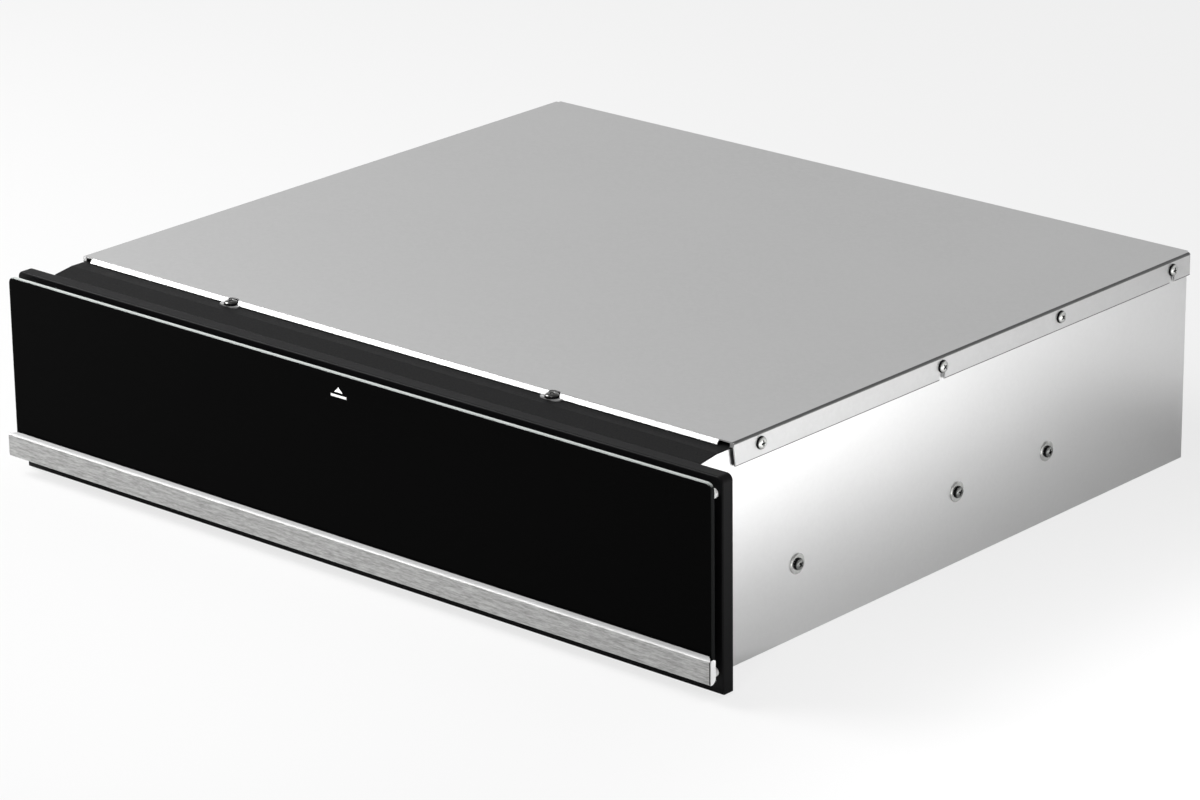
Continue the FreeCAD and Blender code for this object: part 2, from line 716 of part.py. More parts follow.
def front_frame():
    """Moulded black frame: a face plate with deep rims, screw bosses and ribs behind it."""
    x = frame_width / 2
    outer = rectangle(-x, x, frame_lift, frame_top)
    inner = rectangle(-opening_x, opening_x, opening_low, opening_top)
    block = plate(outer, [0, 0, frame_corner, frame_corner], on_xz(frame_front), AXIS_Y * frame_depth)
    front_edges = [e for e in block.Edges if all(abs(v.Y - frame_front) < 1e-6 for v in e.Vertexes)]
    block = block.makeFillet(frame_edge_round, front_edges)
    inner_corner = frame_corner - frame_wall
    core = plate(rectangle(-x + frame_wall, x - frame_wall, frame_lift + frame_wall, frame_top - frame_wall),
                 [0, 0, inner_corner, inner_corner], on_xz(frame_front + frame_wall), AXIS_Y * frame_depth)
    rim = plate(rectangle(-opening_x - frame_wall, opening_x + frame_wall, opening_low - frame_wall,
                          opening_top + frame_wall), [opening_corner + frame_wall] * 4,
                on_xz(frame_front + 0.5), AXIS_Y * (frame_depth - 0.5))
    window = plate(inner, [opening_corner] * 4, on_xz(frame_front - 1), AXIS_Y * (frame_depth + 2))
    shell = block.cut(core)
    parts = [shell, rim]
    boss_length = frame_depth - 1
    rib_front = frame_front + 1
    rib_rear = frame_rear - 2
    half_rib = frame_rib / 2
    for sign in (-1, 1):
        for z in fixing_heights:
            foot = Vector(sign * fixing_x, rib_front, z)
            parts.append(rod(frame_boss_radius, foot, AXIS_Y, boss_length))
        for z in frame_screw_heights:
            foot = Vector(sign * frame_screw_x, rib_front, z)
            parts.append(rod(frame_boss_radius, foot, AXIS_Y, boss_length))
        for i in (-1, 0, 1):
            z = frame_middle + i * frame_side_rib_pitch
            low = min(sign * opening_x, sign * (x - 1))
            parts.append(box(low, low + x - 1 - opening_x, rib_front, rib_rear, z - half_rib, z + half_rib))
    count = int((opening_x - frame_rib) // frame_rib_pitch)
    for i in range(-count, count + 1):
        centre = frame_rib_pitch * i
        for low, high in ((frame_lift + 1, opening_low), (opening_top, frame_top - 1)):
            parts.append(box(centre - half_rib, centre + half_rib, rib_front, rib_rear, low, high))
    frame = fuse(parts).cut(window)
    holes = []
    for sign in (-1, 1):
        for z in fixing_heights:
            centre = Vector(sign * fixing_x, frame_front - 1, z)
            holes.append(rod(fixing_radius, centre, AXIS_Y, frame_depth + 2))
        for z in frame_screw_heights:
            centre = Vector(sign * frame_screw_x, frame_front - 1, z)
            holes.append(rod(screw_hole, centre, AXIS_Y, frame_depth + 2))
            holes.append(rod(cover_screw_head + fit_gap, centre, AXIS_Y, 1 + head_height + fit_gap))
    return cut(frame, holes)


def frame_bumpers():
    """Domed soft stops just short of where the glass ends its push."""
    sphere_radius = (bumper_radius ** 2 + bumper_dome ** 2) / (2 * bumper_dome)
    straight = bumper_height - bumper_dome
    stops = []
    for sign in (-1, 1):
        for z in (bumper_low, bumper_high):
            foot = Vector(sign * (frame_width / 2 - bumper_inset), frame_front, z)
            ball = Part.makeSphere(sphere_radius, foot + AXIS_Y * (sphere_radius - bumper_height))
            dome = ball.common(rod(bumper_radius, foot - AXIS_Y * straight, AXIS_Y * -1, bumper_dome + 1))
            stops.append(fuse([rod(bumper_radius, foot, AXIS_Y * -1, straight), dome]))
    return Part.makeCompound(stops)


# ---- slides -------------------------------------------------------------------
# Right-hand section, measured from the slide's axis.  Flange faces are half heights.
outer_face = slide_height / 2 - rail_flange
middle_face = outer_face - ball_gap
middle_inner = middle_face - rail_flange
inner_face = middle_inner - ball_gap
middle_web = side_inner - rail_sheet - middle_rail_gap
outer_ball_x = side_inner - outer_ball_reach
inner_ball_x = side_inner - inner_ball_reach
outer_ball_height = outer_face - ball_gap / 2
inner_ball_height = middle_inner - ball_gap / 2


def rail_channel(web_low, web_high, lip, half_height, grooves):
    """C-section rail.  Its web spans web_low to web_high and its flanges reach to `lip`."""
    inward = -1 if lip < web_low else 1
    back = web_high if inward < 0 else web_low
    face = back + inward * (web_high - web_low)
    low = slide_z - half_height
    high = slide_z + half_height
    outline = [(lip, low), (back, low), (back, high), (lip, high), (lip, high - rail_flange),
               (face, high - rail_flange), (face, low + rail_flange), (lip, low + rail_flange)]
    edge = rail_flange / 4
    bend = rail_sheet / 2
    radii = [edge, bend + rail_sheet, bend + rail_sheet, edge, edge, bend, bend, edge]
    rail = plate(outline, radii, on_xz(rail_start), AXIS_Y * slide_length)
    tools = []
    for x, height in grooves:
        for sign in (-1, 1):
            start = Vector(x, rail_start - 1, slide_z + sign * height)
            tools.append(rod(ball_radius + groove_clearance, start, AXIS_Y, slide_length + 2))
    return cut(rail, tools)


def outer_rail():
    rail = rail_channel(side_inner - rail_sheet, side_inner, side_inner - rail_lip_outer, slide_height / 2,
                        [(outer_ball_x, outer_ball_height)])
    holes = [rod(thread_hole, Vector(side_inner - 3, y_at(place), slide_z), AXIS_X, 6)
             for place in slide_screw_places]
    return cut(rail, holes)


def middle_rail():
    return rail_channel(middle_web - rail_sheet, middle_web, side_inner - rail_lip_middle, middle_face,
                        [(outer_ball_x, outer_ball_height), (inner_ball_x, inner_ball_height)])


def inner_rail():
    rail = rail_channel(slide_inner, slide_inner + rail_sheet, slide_inner + rail_lip_inner, inner_face,
                        [(inner_ball_x, inner_ball_height)])
    holes = [rod(thread_hole, Vector(slide_inner - 1, y_at(place), slide_z), AXIS_X, 6)
             for place in rail_screw_places]
    return cut(rail, holes)


def ball_places():
    pitch = (cage_length - 2 * cage_end) / (balls_per_row - 1)
    return [rail_start + cage_start + cage_end + pitch * i for i in range(balls_per_row)]


def ball_cage(web_low, height, tip, ball_x):
    """Ball retainer: a thin channel between two rails, with a hole for each ball."""
    low = slide_z - height - cage_sheet / 2
    high = slide_z + height + cage_sheet / 2
    web_high = web_low + cage_web
    outline = [(tip, low), (web_high, low), (web_high, high), (tip, high),
               (tip, high - cage_sheet), (web_low, high - cage_sheet),
               (web_low, low + cage_sheet), (tip, low + cage_sheet)]
    bend = cage_sheet / 4
    cage = plate(outline, [0, cage_sheet, cage_sheet, 0, 0, bend, bend, 0],
                 on_xz(rail_start + cage_start), AXIS_Y * cage_length)
    holes = []
    for y in ball_places():
        for sign in (-1, 1):
            start = Vector(ball_x, y, slide_z + sign * height - 2)
            holes.append(rod(ball_radius + seat_gap, start, AXIS_Z, 4))
    return cut(cage, holes)


def outer_cage():
    return ball_cage(middle_web + outer_cage_gap, outer_ball_height, side_inner - outer_cage_reach,
                     outer_ball_x)


def inner_cage():
    return ball_cage(middle_web - rail_sheet - inner_cage_gap, inner_ball_height,
                     side_inner - inner_cage_reach, inner_ball_x)


def ball_set(ball_x, height):
    """Balls of both slides, one solid each."""
    balls = []
    for side in (-1, 1):
        for sign in (-1, 1):
            for y in ball_places():
                balls.append(Part.makeSphere(ball_radius, Vector(side * ball_x, y, slide_z + sign * height)))
    return Part.makeCompound(balls)


# ---- drawer -------------------------------------------------------------------
def drawer_tub():
    """Open tub of folded sheet, with a rim turned outwards on three sides."""
    inside = box(-tub_x + sheet, tub_x - sheet, tub_front + sheet, tub_rear - sheet,
                 tub_floor + sheet, tub_top + 5)
    body = box(-tub_x, tub_x, tub_front, tub_rear, tub_floor, tub_top)
    body = body.makeFillet(tub_corner, upright_edges(body))
    inside = inside.makeFillet(tub_corner - sheet, upright_edges(inside))
    rim = box(-tub_x - tub_rim, tub_x + tub_rim, tub_front + 1, tub_rear + 1, tub_top - sheet, tub_top)
    tub = fuse([body, rim]).cut(inside)
    holes = []
    for sign in (-1, 1):
        for place in rail_screw_places:
            holes.append(rod(thread_hole, Vector(sign * tub_x - 3, y_at(place), slide_z), AXIS_X, 6))
    return cut(tub, holes)


def front_pan():
    """Folded steel pan behind the glass, which carries the glass and the fascia."""
    x = front_pan_x
    face = box(-x, x, glass_rear, glass_rear + sheet, tub_floor, fascia_under)
    bottom = box(-x, x, glass_rear, tub_front, tub_floor, tub_floor + sheet)
    left = box(-x, -x + sheet, glass_rear, tub_front, tub_floor, fascia_under)
    return fuse([face, bottom, left, mirrored(left)])


def door_glass():
    """Black glass front with rounded corners and polished edges."""
    x = glass_width / 2
    pane = plate(rectangle(-x, x, trim_bottom + trim_wall + seat_gap, glass_top),
                 [glass_corner_low, glass_corner_low, glass_corner, glass_corner],
                 on_xz(glass_front), AXIS_Y * glass_thickness)
    rims = [e for e in pane.Edges if all(abs(v.Y - glass_front) < 1e-6 for v in e.Vertexes)
            or all(abs(v.Y - glass_rear) < 1e-6 for v in e.Vertexes)]
    return pane.makeChamfer(glass_chamfer, rims)


def handle_trim():
    """Brushed channel along the glass's lower edge, which wraps under it and is open at its ends."""
    x = trim_width / 2
    path = [(glass_front - thread_clearance, trim_top), (trim_front, trim_top), (trim_front, trim_bottom),
            (glass_rear, trim_bottom)]
    channel = bent_sheet(path, trim_wall, trim_bend, on_yz(-x), AXIS_X * (2 * x))
    end = trim_cap + seat_gap
    behind = trim_front + trim_wall
    space = box(x - end, x + 1, behind, glass_rear + 1, trim_bottom - 1, trim_top - trim_wall)
    mitre = plate([(x + 1, behind), (x + 1, glass_front + 1), (x - trim_mitre, glass_front + 1),
                   (x - trim_mitre, glass_front), (x, behind)], [0] * 5,
                  on_xy(trim_top - trim_wall - trim_bend), AXIS_Z * trim_height)
    return channel.cut([space, mirrored(space), mitre, mirrored(mitre)])


def trim_cap_piece():
    """Right end cap, let into the trim's open end and rounded at its lower rear corner."""
    x = trim_width / 2
    edge = trim_cap_edge
    outline = rectangle(trim_front + trim_wall + fit_gap, glass_front + trim_cap_lap, trim_bottom,
                        trim_top - trim_wall - fit_gap)
    return plate(outline, [edge, trim_cap_round, edge, edge], on_yz(x - trim_cap), AXIS_X * trim_cap)


def slip_mat():
    """Ribbed rubber mat on the tub's floor."""
    x = tub_x - sheet - mat_margin
    front = tub_front + sheet + mat_margin
    rear = baffle_front - mat_margin
    floor = tub_floor + sheet
    mat = plate(rectangle(-x, x, front, rear), [mat_border] * 4, on_xy(floor),
                AXIS_Z * (mat_thickness - mat_rib))
    count = int((2 * x - 2 * mat_border) // mat_rib_pitch)
    ribs = []
    for i in range(count + 1):
        centre = (i - count / 2) * mat_rib_pitch
        ribs.append(box(centre - mat_rib_width / 2, centre + mat_rib_width / 2,
                        front + mat_border, rear - mat_border, floor + mat_rib, floor + mat_thickness))
    return fuse([mat] + ribs)


def control_fascia():
    """Moulded cover over the pan behind the glass, with holes for the controls."""
    x = front_pan_x
    top = plate(rectangle(-x, x, glass_rear + thread_clearance, tub_front - thread_clearance), [1.0] * 4,
                on_xy(fascia_under), AXIS_Z * fascia_thickness)
    skirt_x = x - sheet - fit_gap
    front = glass_rear + sheet + fit_gap
    rear = tub_front - fit_gap
    low = fascia_under - fascia_skirt
    outer = box(-skirt_x, skirt_x, front, rear, low, fascia_under + fascia_thickness / 2)
    hollow = box(-skirt_x + fascia_wall, skirt_x - fascia_wall, front + fascia_wall, rear - fascia_wall,
                 low - 1, fascia_under)
    fascia = fuse([top, outer]).cut(hollow)
    length = rocker_length / 2 + switch_wall + seat_gap
    width = rocker_width / 2 + switch_wall + seat_gap
    holes = [
        rod(spindle_radius + fit_gap, Vector(knob_x, control_y, fascia_under - 1), AXIS_Z, 6),
        box(switch_x - length, switch_x + length, control_y - width, control_y + width,
            fascia_under - 1, tub_top + 1),
        rod(lamp_radius + seat_gap, Vector(lamp_x, control_y, fascia_under - 1), AXIS_Z, 6),
    ]
    return cut(fascia, holes)


def blade_terminals(x_places, y, top):
    """Push-on terminals that hang from a body's underside."""
    half = blade_terminal / 2
    return [box(x - half, x + half, y, y + blade_terminal_sheet, top - blade_terminal_length, top + 0.5)
            for x in x_places]


def heat_regulator():
    """Body of the heat regulator, hung under the fascia, with a bore for its spindle."""
    half_length = regulator_length / 2
    half_width = regulator_width / 2
    top = fascia_under - regulator_neck_length
    outline = rectangle(knob_x - half_length, knob_x + half_length, control_y - half_width,
                        control_y + half_width)
    body = plate(outline, [3.0] * 4, on_xy(top - regulator_depth), AXIS_Z * regulator_depth)
    neck = rod(regulator_neck, Vector(knob_x, control_y, top - 1), AXIS_Z, regulator_neck_length + 1)
    tabs = blade_terminals([knob_x - 10, knob_x, knob_x + 10], control_y + half_width / 2,
                           top - regulator_depth)
    foot = Vector(knob_x, control_y, fascia_under - spindle_length - 0.5)
    bore = rod(spindle_radius + shaft_clearance, foot, AXIS_Z, spindle_length + 5)
    return fuse([body, neck] + tabs).cut(bore)


def regulator_spindle():
    """Spindle with a flat for the knob."""
    length = spindle_length + fascia_thickness + spindle_end
    spindle = rod(spindle_radius, Vector(knob_x, control_y, fascia_under - spindle_length), AXIS_Z, length)
    flat = box(knob_x - 5, knob_x + 5, control_y + spindle_radius - 1, control_y + 5,
               tub_top + 2 * fit_gap, tub_top + spindle_end + 1)
    return spindle.cut(flat)


def heat_knob():
    """Fluted knob with a bore that seats on the spindle's end."""
    base = tub_top + fit_gap
    skirt = 1.6
    grip = knob_radius - skirt
    profile = [(0, 0), (knob_radius, 0), (knob_radius, skirt), (grip, skirt + 0.6),
               (grip - 0.6, knob_height - 0.8), (grip - 1.4, knob_height), (0, knob_height)]
    knob = revolved(profile, Vector(knob_x, control_y, base), AXIS_Z)
    tools = []
    for i in range(knob_flutes):
        turn = 2 * math.pi * i / knob_flutes
        outward = Vector(math.cos(turn), math.sin(turn), 0) * (grip + flute_radius / 2)
        centre = outward + Vector(knob_x, control_y, base + 1.5 * skirt)
        tools.append(rod(flute_radius, centre, AXIS_Z, knob_height))
    bore = rod(spindle_radius + thread_clearance, Vector(knob_x, control_y, base - 1), AXIS_Z,
               1 + spindle_end + fit_gap)
    return cut(knob, tools + [bore])


def switch_housing():
    """Rocker switch body with its bezel and the well that the rocker sits in."""
    length = rocker_length / 2 + switch_wall
    width = rocker_width / 2 + switch_wall
    under = fascia_under - switch_depth
    body = box(switch_x - length, switch_x + length, control_y - width, control_y + width, under, tub_top)
    reach = bezel_reach
    bezel = plate(rectangle(switch_x - length - reach, switch_x + length + reach, control_y - width - reach,
                            control_y + width + reach), [reach] * 4, on_xy(tub_top), AXIS_Z * bezel_height)
    inner = fit_gap
    well = box(switch_x - length + switch_wall - inner, switch_x + length - switch_wall + inner,
               control_y - width + switch_wall - inner, control_y + width - switch_wall + inner,
               tub_top - 9, tub_top + 3)
    pin = rod(rocker_pin + thread_clearance, Vector(switch_x, control_y - width + inner, rocker_z), AXIS_Y,
              2 * (width - inner))
    tabs = blade_terminals([switch_x - 5, switch_x + 5], control_y - blade_terminal_sheet / 2, under)
    return fuse([body, bezel] + tabs).cut([well, pin])


def rocker():
    """Rocker with a shallow V top and pivot pins, tipped to its off side."""
    half = rocker_length / 2 - fit_gap
    width = rocker_width / 2 - 0.1
    rise = rocker_rise
    outline = [(-half, -1.0), (-3.0, -3.2), (3.0, -3.2), (half, -1.0), (half, rise), (0, rise - 1.2),
               (-half, rise)]
    body = plate([(switch_x + u, rocker_z + v) for u, v in outline], [0.5, 0, 0, 0.5, 0.8, 6.0, 0.8],
                 on_xz(control_y - width), AXIS_Y * (2 * width))
    pin = rod(rocker_pin, Vector(switch_x, control_y - width - 0.8, rocker_z), AXIS_Y, 2 * width + 1.6)
    body = fuse([body, pin])
    body.rotate(Vector(switch_x, control_y, rocker_z), AXIS_Y, rocker_tilt)
    return body


def lamp():
    """Domed pilot lens on its holder."""
    stem = lamp_radius - 0.4
    profile = [(0, -lamp_length), (stem, -lamp_length), (stem, -2.6), (lamp_radius, -2.5), (lamp_radius, 0),
               (lamp_radius + 1, 0), (lamp_radius + 1, 0.6), (lamp_radius, 1.2), (lamp_radius * 0.6, 2.0),
               (0, 2.4)]
    return revolved(profile, Vector(lamp_x, control_y, tub_top), AXIS_Z)


# ---- hot-air unit -------------------------------------------------------------
def air_baffle():
    """Slotted sheet that closes the fan space off from the tub, folded over its top."""
    x = tub_x - sheet - seat_gap
    rear = tub_rear - sheet - seat_gap
    path = [(rear, baffle_top), (baffle_front, baffle_top), (baffle_front, baffle_low)]
    folded = bent_sheet(path, sheet, fold_radius, on_yz(-x), AXIS_X * (2 * x))
    corner = tub_corner - sheet
    tools = [box(sign * x - corner, sign * x + corner, rear - corner, rear + 1,
                 baffle_top - 2, baffle_top + 1) for sign in (-1, 1)]
    count = int((grille_radius - grille_slot) // grille_pitch)
    for i in range(-count, count + 1):
        height = i * grille_pitch
        chord = 2 * math.sqrt(grille_radius ** 2 - height ** 2)
        tools.append(slot(chord, grille_slot, Vector(0, baffle_front, fan_z + height), AXIS_X, AXIS_Y, 3))
    for sign in (-1, 1):
        for i in range(baffle_slots):
            centre = Vector(sign * (baffle_slot_start + baffle_slot_pitch * i), baffle_front, fan_z)
            tools.append(slot(baffle_slot_height, baffle_slot_width, centre, AXIS_Z, AXIS_Y, 3))
    return cut(folded, tools)


def fan_shaft():
    """Motor shaft with the rotor that turns inside the stack."""
    start = baffle_rear + fan_start - shaft_nose
    shaft = rod(shaft_radius, Vector(0, start, fan_z), AXIS_Y, motor_rear + shaft_rear - start)
    rotor = rod(rotor_radius, Vector(0, motor_front + 1, fan_z), AXIS_Y, motor_stack - 2)
    return fuse([shaft, rotor])


def fan_impeller():
    """Axial impeller: twisted, cambered blades lofted out of a domed hub."""
    front = baffle_rear + fan_start
    nose = fan_hub_radius - fan_hub_round
    profile = [(0, 0), (nose, 0), (fan_hub_radius, fan_hub_round), (fan_hub_radius, fan_depth),
               (0, fan_depth)]
    hub = revolved(profile, Vector(0, front, fan_z), AXIS_Y)
    root = fan_hub_radius - blade_root_sunk
    middle = (fan_hub_radius + fan_radius) / 2
    # radius, pitch angle, chord and camber at three stations
    stations = ((root, 42, 11.5, 1.6), (middle, 32, 17.0, 2.4), (fan_radius, 24, 20.0, 2.6))
    blades = []
    for i in range(fan_blades):
        sections = [blade_section(*station, front + fan_depth / 2) for station in stations]
        blade = Part.makeLoft(sections, True, False)
        blade.rotate(Vector(0, 0, fan_z), AXIS_Y, 360.0 * i / fan_blades)
        blades.append(blade)
    bore = rod(shaft_radius + 0.01, Vector(0, front - 1, fan_z), AXIS_Y, fan_depth + 2)
    return fuse([hub] + blades).cut(bore)


def blade_section(radius, pitch, chord, bulge, y_middle):
    """Closed cambered section of one blade, flat at one radius from the axis."""
    angle = math.radians(pitch)
    along = Vector(math.cos(angle), math.sin(angle), 0)
    normal = Vector(-math.sin(angle), math.cos(angle), 0)
    centre = Vector(0, y_middle, fan_z + radius)
    half = chord / 2
    skin = normal * blade_thickness / 2
    a = centre - along * half
    b = centre + along * half
    crest = centre + normal * bulge
    upper = Part.Arc(a + skin, crest + skin, b + skin).toShape()
    lower = Part.Arc(b - skin, crest - skin, a - skin).toShape()
    ends = [Part.LineSegment(b + skin, b - skin).toShape(), Part.LineSegment(a - skin, a + skin).toShape()]
    return Part.Wire([upper, ends[0], lower, ends[1]])


def motor_stator():
    """Laminated stack with its round bore and the windows of its winding."""
    half = motor_size / 2
    outline = rectangle(-half, half, fan_z - half, fan_z + half + motor_limb)
    stack = plate(outline, [motor_corner] * 4, on_xz(motor_front), AXIS_Y * motor_stack)
    tools = [rod(rotor_radius + rotor_gap, Vector(0, motor_front - 1, fan_z), AXIS_Y, motor_stack + 2)]
    for sign in (-1, 1):
        low = min(sign * winding_inner, sign * winding_outer)
        tools.append(box(low, low + winding_outer - winding_inner, motor_front - 1, motor_rear + 1,
                         window_low, window_high))
    return stack.cut(tools)


def motor_coil():
    """Wound bobbin that fills both windows and bulges in front of and behind the limb."""
    outer = winding_outer - fit_gap
    inner = winding_inner + seat_gap
    low = window_low + fit_gap
    high = window_high - fit_gap
    outline = rectangle(-outer, outer, motor_front - winding_bulge, motor_rear + winding_bulge)
    bobbin = plate(outline, [4.0] * 4, on_xy(low), AXIS_Z * (high - low))
    return bobbin.cut(box(-inner, inner, motor_front - seat_gap, motor_rear + seat_gap, low - 1, high + 1))


def motor_brackets():
    """Front and rear bearing bridges, each with a running fit on the shaft."""
    bridges = []
    half = bridge_width / 2
    for start, direction in ((motor_front, -1), (motor_rear, 1)):
        face = start + direction * bridge_setback
        low = min(start, face)
        arms = [box(s * bridge_post - bridge_post_width / 2, s * bridge_post + bridge_post_width / 2,
                    low, low + bridge_setback, fan_z - half, fan_z + half) for s in (-1, 1)]
        bridge = box(-bridge_half, bridge_half, face - bridge_sheet / 2, face + bridge_sheet / 2,
                     fan_z - half, fan_z + half)
        boss = rod(bearing_radius, Vector(0, face - bearing_length / 2, fan_z), AXIS_Y, bearing_length)
        bore = rod(shaft_radius + shaft_clearance, Vector(0, face - bearing_length, fan_z), AXIS_Y,
                   2 * bearing_length)
        bridges.append(fuse(arms + [bridge, boss]).cut(bore))
    return Part.makeCompound(bridges)


def motor_mount():
    """Folded brackets that carry the stack from the tub's rear wall."""
    back = tub_rear - sheet
    face = motor_rear + bracket_sheet
    path = [(-mount_inner, face), (-mount_outer, face), (-mount_outer, back),
            (-mount_outer - mount_foot, back)]
    left = bent_sheet(path, bracket_sheet, fold_radius, on_xy(fan_z - mount_drop), AXIS_Z * mount_height)
    return Part.makeCompound([left, mirrored(left)])


def ring_heater():
    """Tubular heating element: an open ring with both ends turned to the rear."""
    y = baffle_rear + ring_setback
    bend = ring_bend
    gap = math.radians(ring_gap_angle)
    start = -math.pi / 2 + gap
    end = 1.5 * math.pi - gap

    def at(angle):
        return Vector(ring_radius * math.cos(angle), y, fan_z + ring_radius * math.sin(angle))

    def heading(angle):
        return Vector(-math.sin(angle), 0, math.cos(angle))

    def turned(point, direction, theta):
        return point + direction * (bend * math.sin(theta)) + AXIS_Y * (bend * (1 - math.cos(theta)))

    tail = AXIS_Y * ring_tail
    first = at(start)
    last = at(end)
    back = heading(start) * -1
    ahead = heading(end)
    edges = [
        Part.LineSegment(turned(first, back, math.pi / 2) + tail, turned(first, back, math.pi / 2)).toShape(),
        Part.Arc(turned(first, back, math.pi / 2), turned(first, back, math.pi / 4), first).toShape(),
        Part.Arc(first, at((start + end) / 2), last).toShape(),
        Part.Arc(last, turned(last, ahead, math.pi / 4), turned(last, ahead, math.pi / 2)).toShape(),
        Part.LineSegment(turned(last, ahead, math.pi / 2), turned(last, ahead, math.pi / 2) + tail).toShape(),
    ]
    begin = turned(first, back, math.pi / 2) + tail
    section = Part.Wire(Part.makeCircle(ring_tube, begin, AXIS_Y))
    return Part.Wire(edges).makePipeShell([section], True, False)


def heater_clips():
    """Spacers that hold the ring off the baffle, each with a saddle for the tube."""
    y = baffle_rear + ring_setback
    clips = []
    for angle in (0, 90, 180):
        turn = math.radians(angle)
        centre = Vector(ring_radius * math.cos(turn), baffle_rear, fan_z + ring_radius * math.sin(turn))
        half = clip_size / 2
        sag = ring_radius - math.sqrt(ring_radius ** 2 - half ** 2)
        clip = box(centre.x - half, centre.x + half, baffle_rear, y - 0.6, centre.z - half, centre.z + half)
        along = Vector(-math.sin(turn), 0, math.cos(turn))
        groove = rod(ring_tube + seat_gap + sag, Vector(centre.x, y, centre.z) - along * 9, along, 18)
        clips.append(clip.cut(groove))
    return Part.makeCompound(clips)


def heater_cutout():
    """Thermal cut-out: a disc body on a two-hole flange."""
    centre = Vector(cutout_x, baffle_rear, fan_z + ring_radius - cutout_drop)
    half = cutout_flange / 2
    half_height = cutout_flange_height / 2
    outline = rectangle(centre.x - half, centre.x + half, centre.z - half_height, centre.z + half_height)
    flange = plate(outline, [half_height - seat_gap] * 4, on_xz(baffle_rear), AXIS_Y * sheet)
    body = rod(cutout_radius, centre, AXIS_Y, cutout_depth)
    parts = [flange, body]
    for sign in (-1, 1):
        low = centre.x + sign * cutout_radius / 2 - blade_terminal / 2
        parts.append(box(low, low + blade_terminal, baffle_rear + cutout_depth - 0.5,
                         baffle_rear + cutout_depth + blade_terminal_length,
                         centre.z - blade_terminal_sheet / 2, centre.z + blade_terminal_sheet / 2))
    return fuse(parts)


# ---- rear of the housing ------------------------------------------------------
def latch_housing():
    """Block of the touch latch, bored for its plunger."""
    half = latch_size / 2
    body = plate(rectangle(-half, half, latch_z - half, latch_z + half), [latch_corner] * 4,
                 on_xz(latch_front), AXIS_Y * latch_length)
    bore = rod(plunger_radius + shaft_clearance, Vector(0, latch_front - 1, latch_z), AXIS_Y,
               latch_length - 3)
    return body.cut(bore)


def latch_plunger():
    """Plunger with the magnet head that holds the striker."""
    head = rod(plunger_tip_radius, Vector(0, plunger_tip, latch_z), AXIS_Y, plunger_head)
    stem = rod(plunger_radius, Vector(0, plunger_tip, latch_z), AXIS_Y,
               plunger_head + latch_gap + plunger_travel + plunger_overlap)
    return fuse([head, stem])


def latch_bracket():
    """Folded stand that carries the latch from the base."""
    half = latch_size / 2
    under = latch_z - half - bracket_sheet
    end = half + latch_foot
    path = [(-end, sheet), (-half, sheet), (-half, under), (half, under), (half, sheet), (end, sheet)]
    stand = bent_sheet(path, bracket_sheet, fold_radius, on_xz(latch_front + latch_bracket_inset),
                       AXIS_Y * (latch_length - 2 * latch_bracket_inset))
    holes = [rod(screw_hole, Vector(s * latch_foot_x, latch_foot_y, 0), AXIS_Z, 6) for s in (-1, 1)]
    return cut(stand, holes)


def latch_striker():
    """Steel plate on the tub's rear wall, which the magnet holds."""
    half = striker_size / 2
    return plate(rectangle(-half, half, latch_z - half, latch_z + half), [4.0] * 4, on_xz(tub_rear),
                 AXIS_Y * striker_thickness)


def cable_inlet():
    """Bushed inlet in the rear panel.  The supply lead passes through its bore."""
    face = rear_panel_y + sheet
    out = cover_rear + inlet_reach - face
    snap = inlet_body + 1.6
    profile = [(inlet_bore, -inlet_inside), (snap, -inlet_inside), (snap, -sheet - seat_gap),
               (inlet_body, -sheet - seat_gap), (inlet_body, 0), (inlet_flange, 0), (inlet_flange, 1.8),
               (inlet_body, 3.0), (inlet_body - 1.6, out), (inlet_bore, out)]
    return revolved(profile, Vector(inlet_x, face, inlet_z), AXIS_Y)


def terminal_block():
    """Mains terminal block on the base, with open wire mouths and screw wells."""
    y = terminal_y
    half = terminal_length / 2
    depth = terminal_width / 2
    body = plate(rectangle(inlet_x - half, inlet_x + half, y - depth, y + depth), [2.0] * 4, on_xy(sheet),
                 AXIS_Z * terminal_height)
    middle = sheet + terminal_height / 2
    wells = []
    for i in (-1, 0, 1):
        x = inlet_x + terminal_pitch * i
        wells.append(rod(terminal_well, Vector(x, y, middle + terminal_mouth), AXIS_Z, terminal_height))
        wells.append(rod(terminal_mouth, Vector(x, y + 3, middle), AXIS_Y, depth))
    return cut(body, wells)


# ---- fasteners ----------------------------------------------------------------
def screw_set(head_radius, length, seats):
    """Equal pan-head screws, each at a (start, direction) seat."""
    return Part.makeCompound([pan_screw(head_radius, length, start, direction) for start, direction in seats])


def side_seats(face, places, z):
    """Seats along both sides of the housing, which face outward."""
    return [(Vector(s * face, y_at(place), z), AXIS_X * s) for s in (-1, 1) for place in places]


def cover_side_screws():
    return screw_set(cover_screw_head, cover_screw_length,
                     side_seats(housing_width / 2, cover_screw_places, cover_screw_z))


def cover_front_screws():
    y = cover_front - front_screw_setback
    seats = [(Vector(s * front_screw_x, y, shelf_top + sheet), AXIS_Z) for s in (-1, 1)]
    return screw_set(front_screw_head, front_screw_length, seats)


def cover_rear_screws():
    seats = [(Vector(x, cover_rear, rear_screw_z), AXIS_Y) for x in rear_screw_places]
    return screw_set(cover_screw_head, cover_screw_length, seats)


def slide_screws():
    return screw_set(slide_screw_head, washer_thickness + sheet + rail_sheet,
                     side_seats(side_outer + washer_thickness, slide_screw_places, slide_z))


def slide_washers():
    profile = [(screw_hole, 0), (washer_radius, 0), (washer_radius, washer_thickness / 2),
               (washer_radius - washer_bevel, washer_thickness), (screw_hole, washer_thickness)]
    return Part.makeCompound([revolved(profile, start, direction)
                              for start, direction in side_seats(side_outer, slide_screw_places, slide_z)])


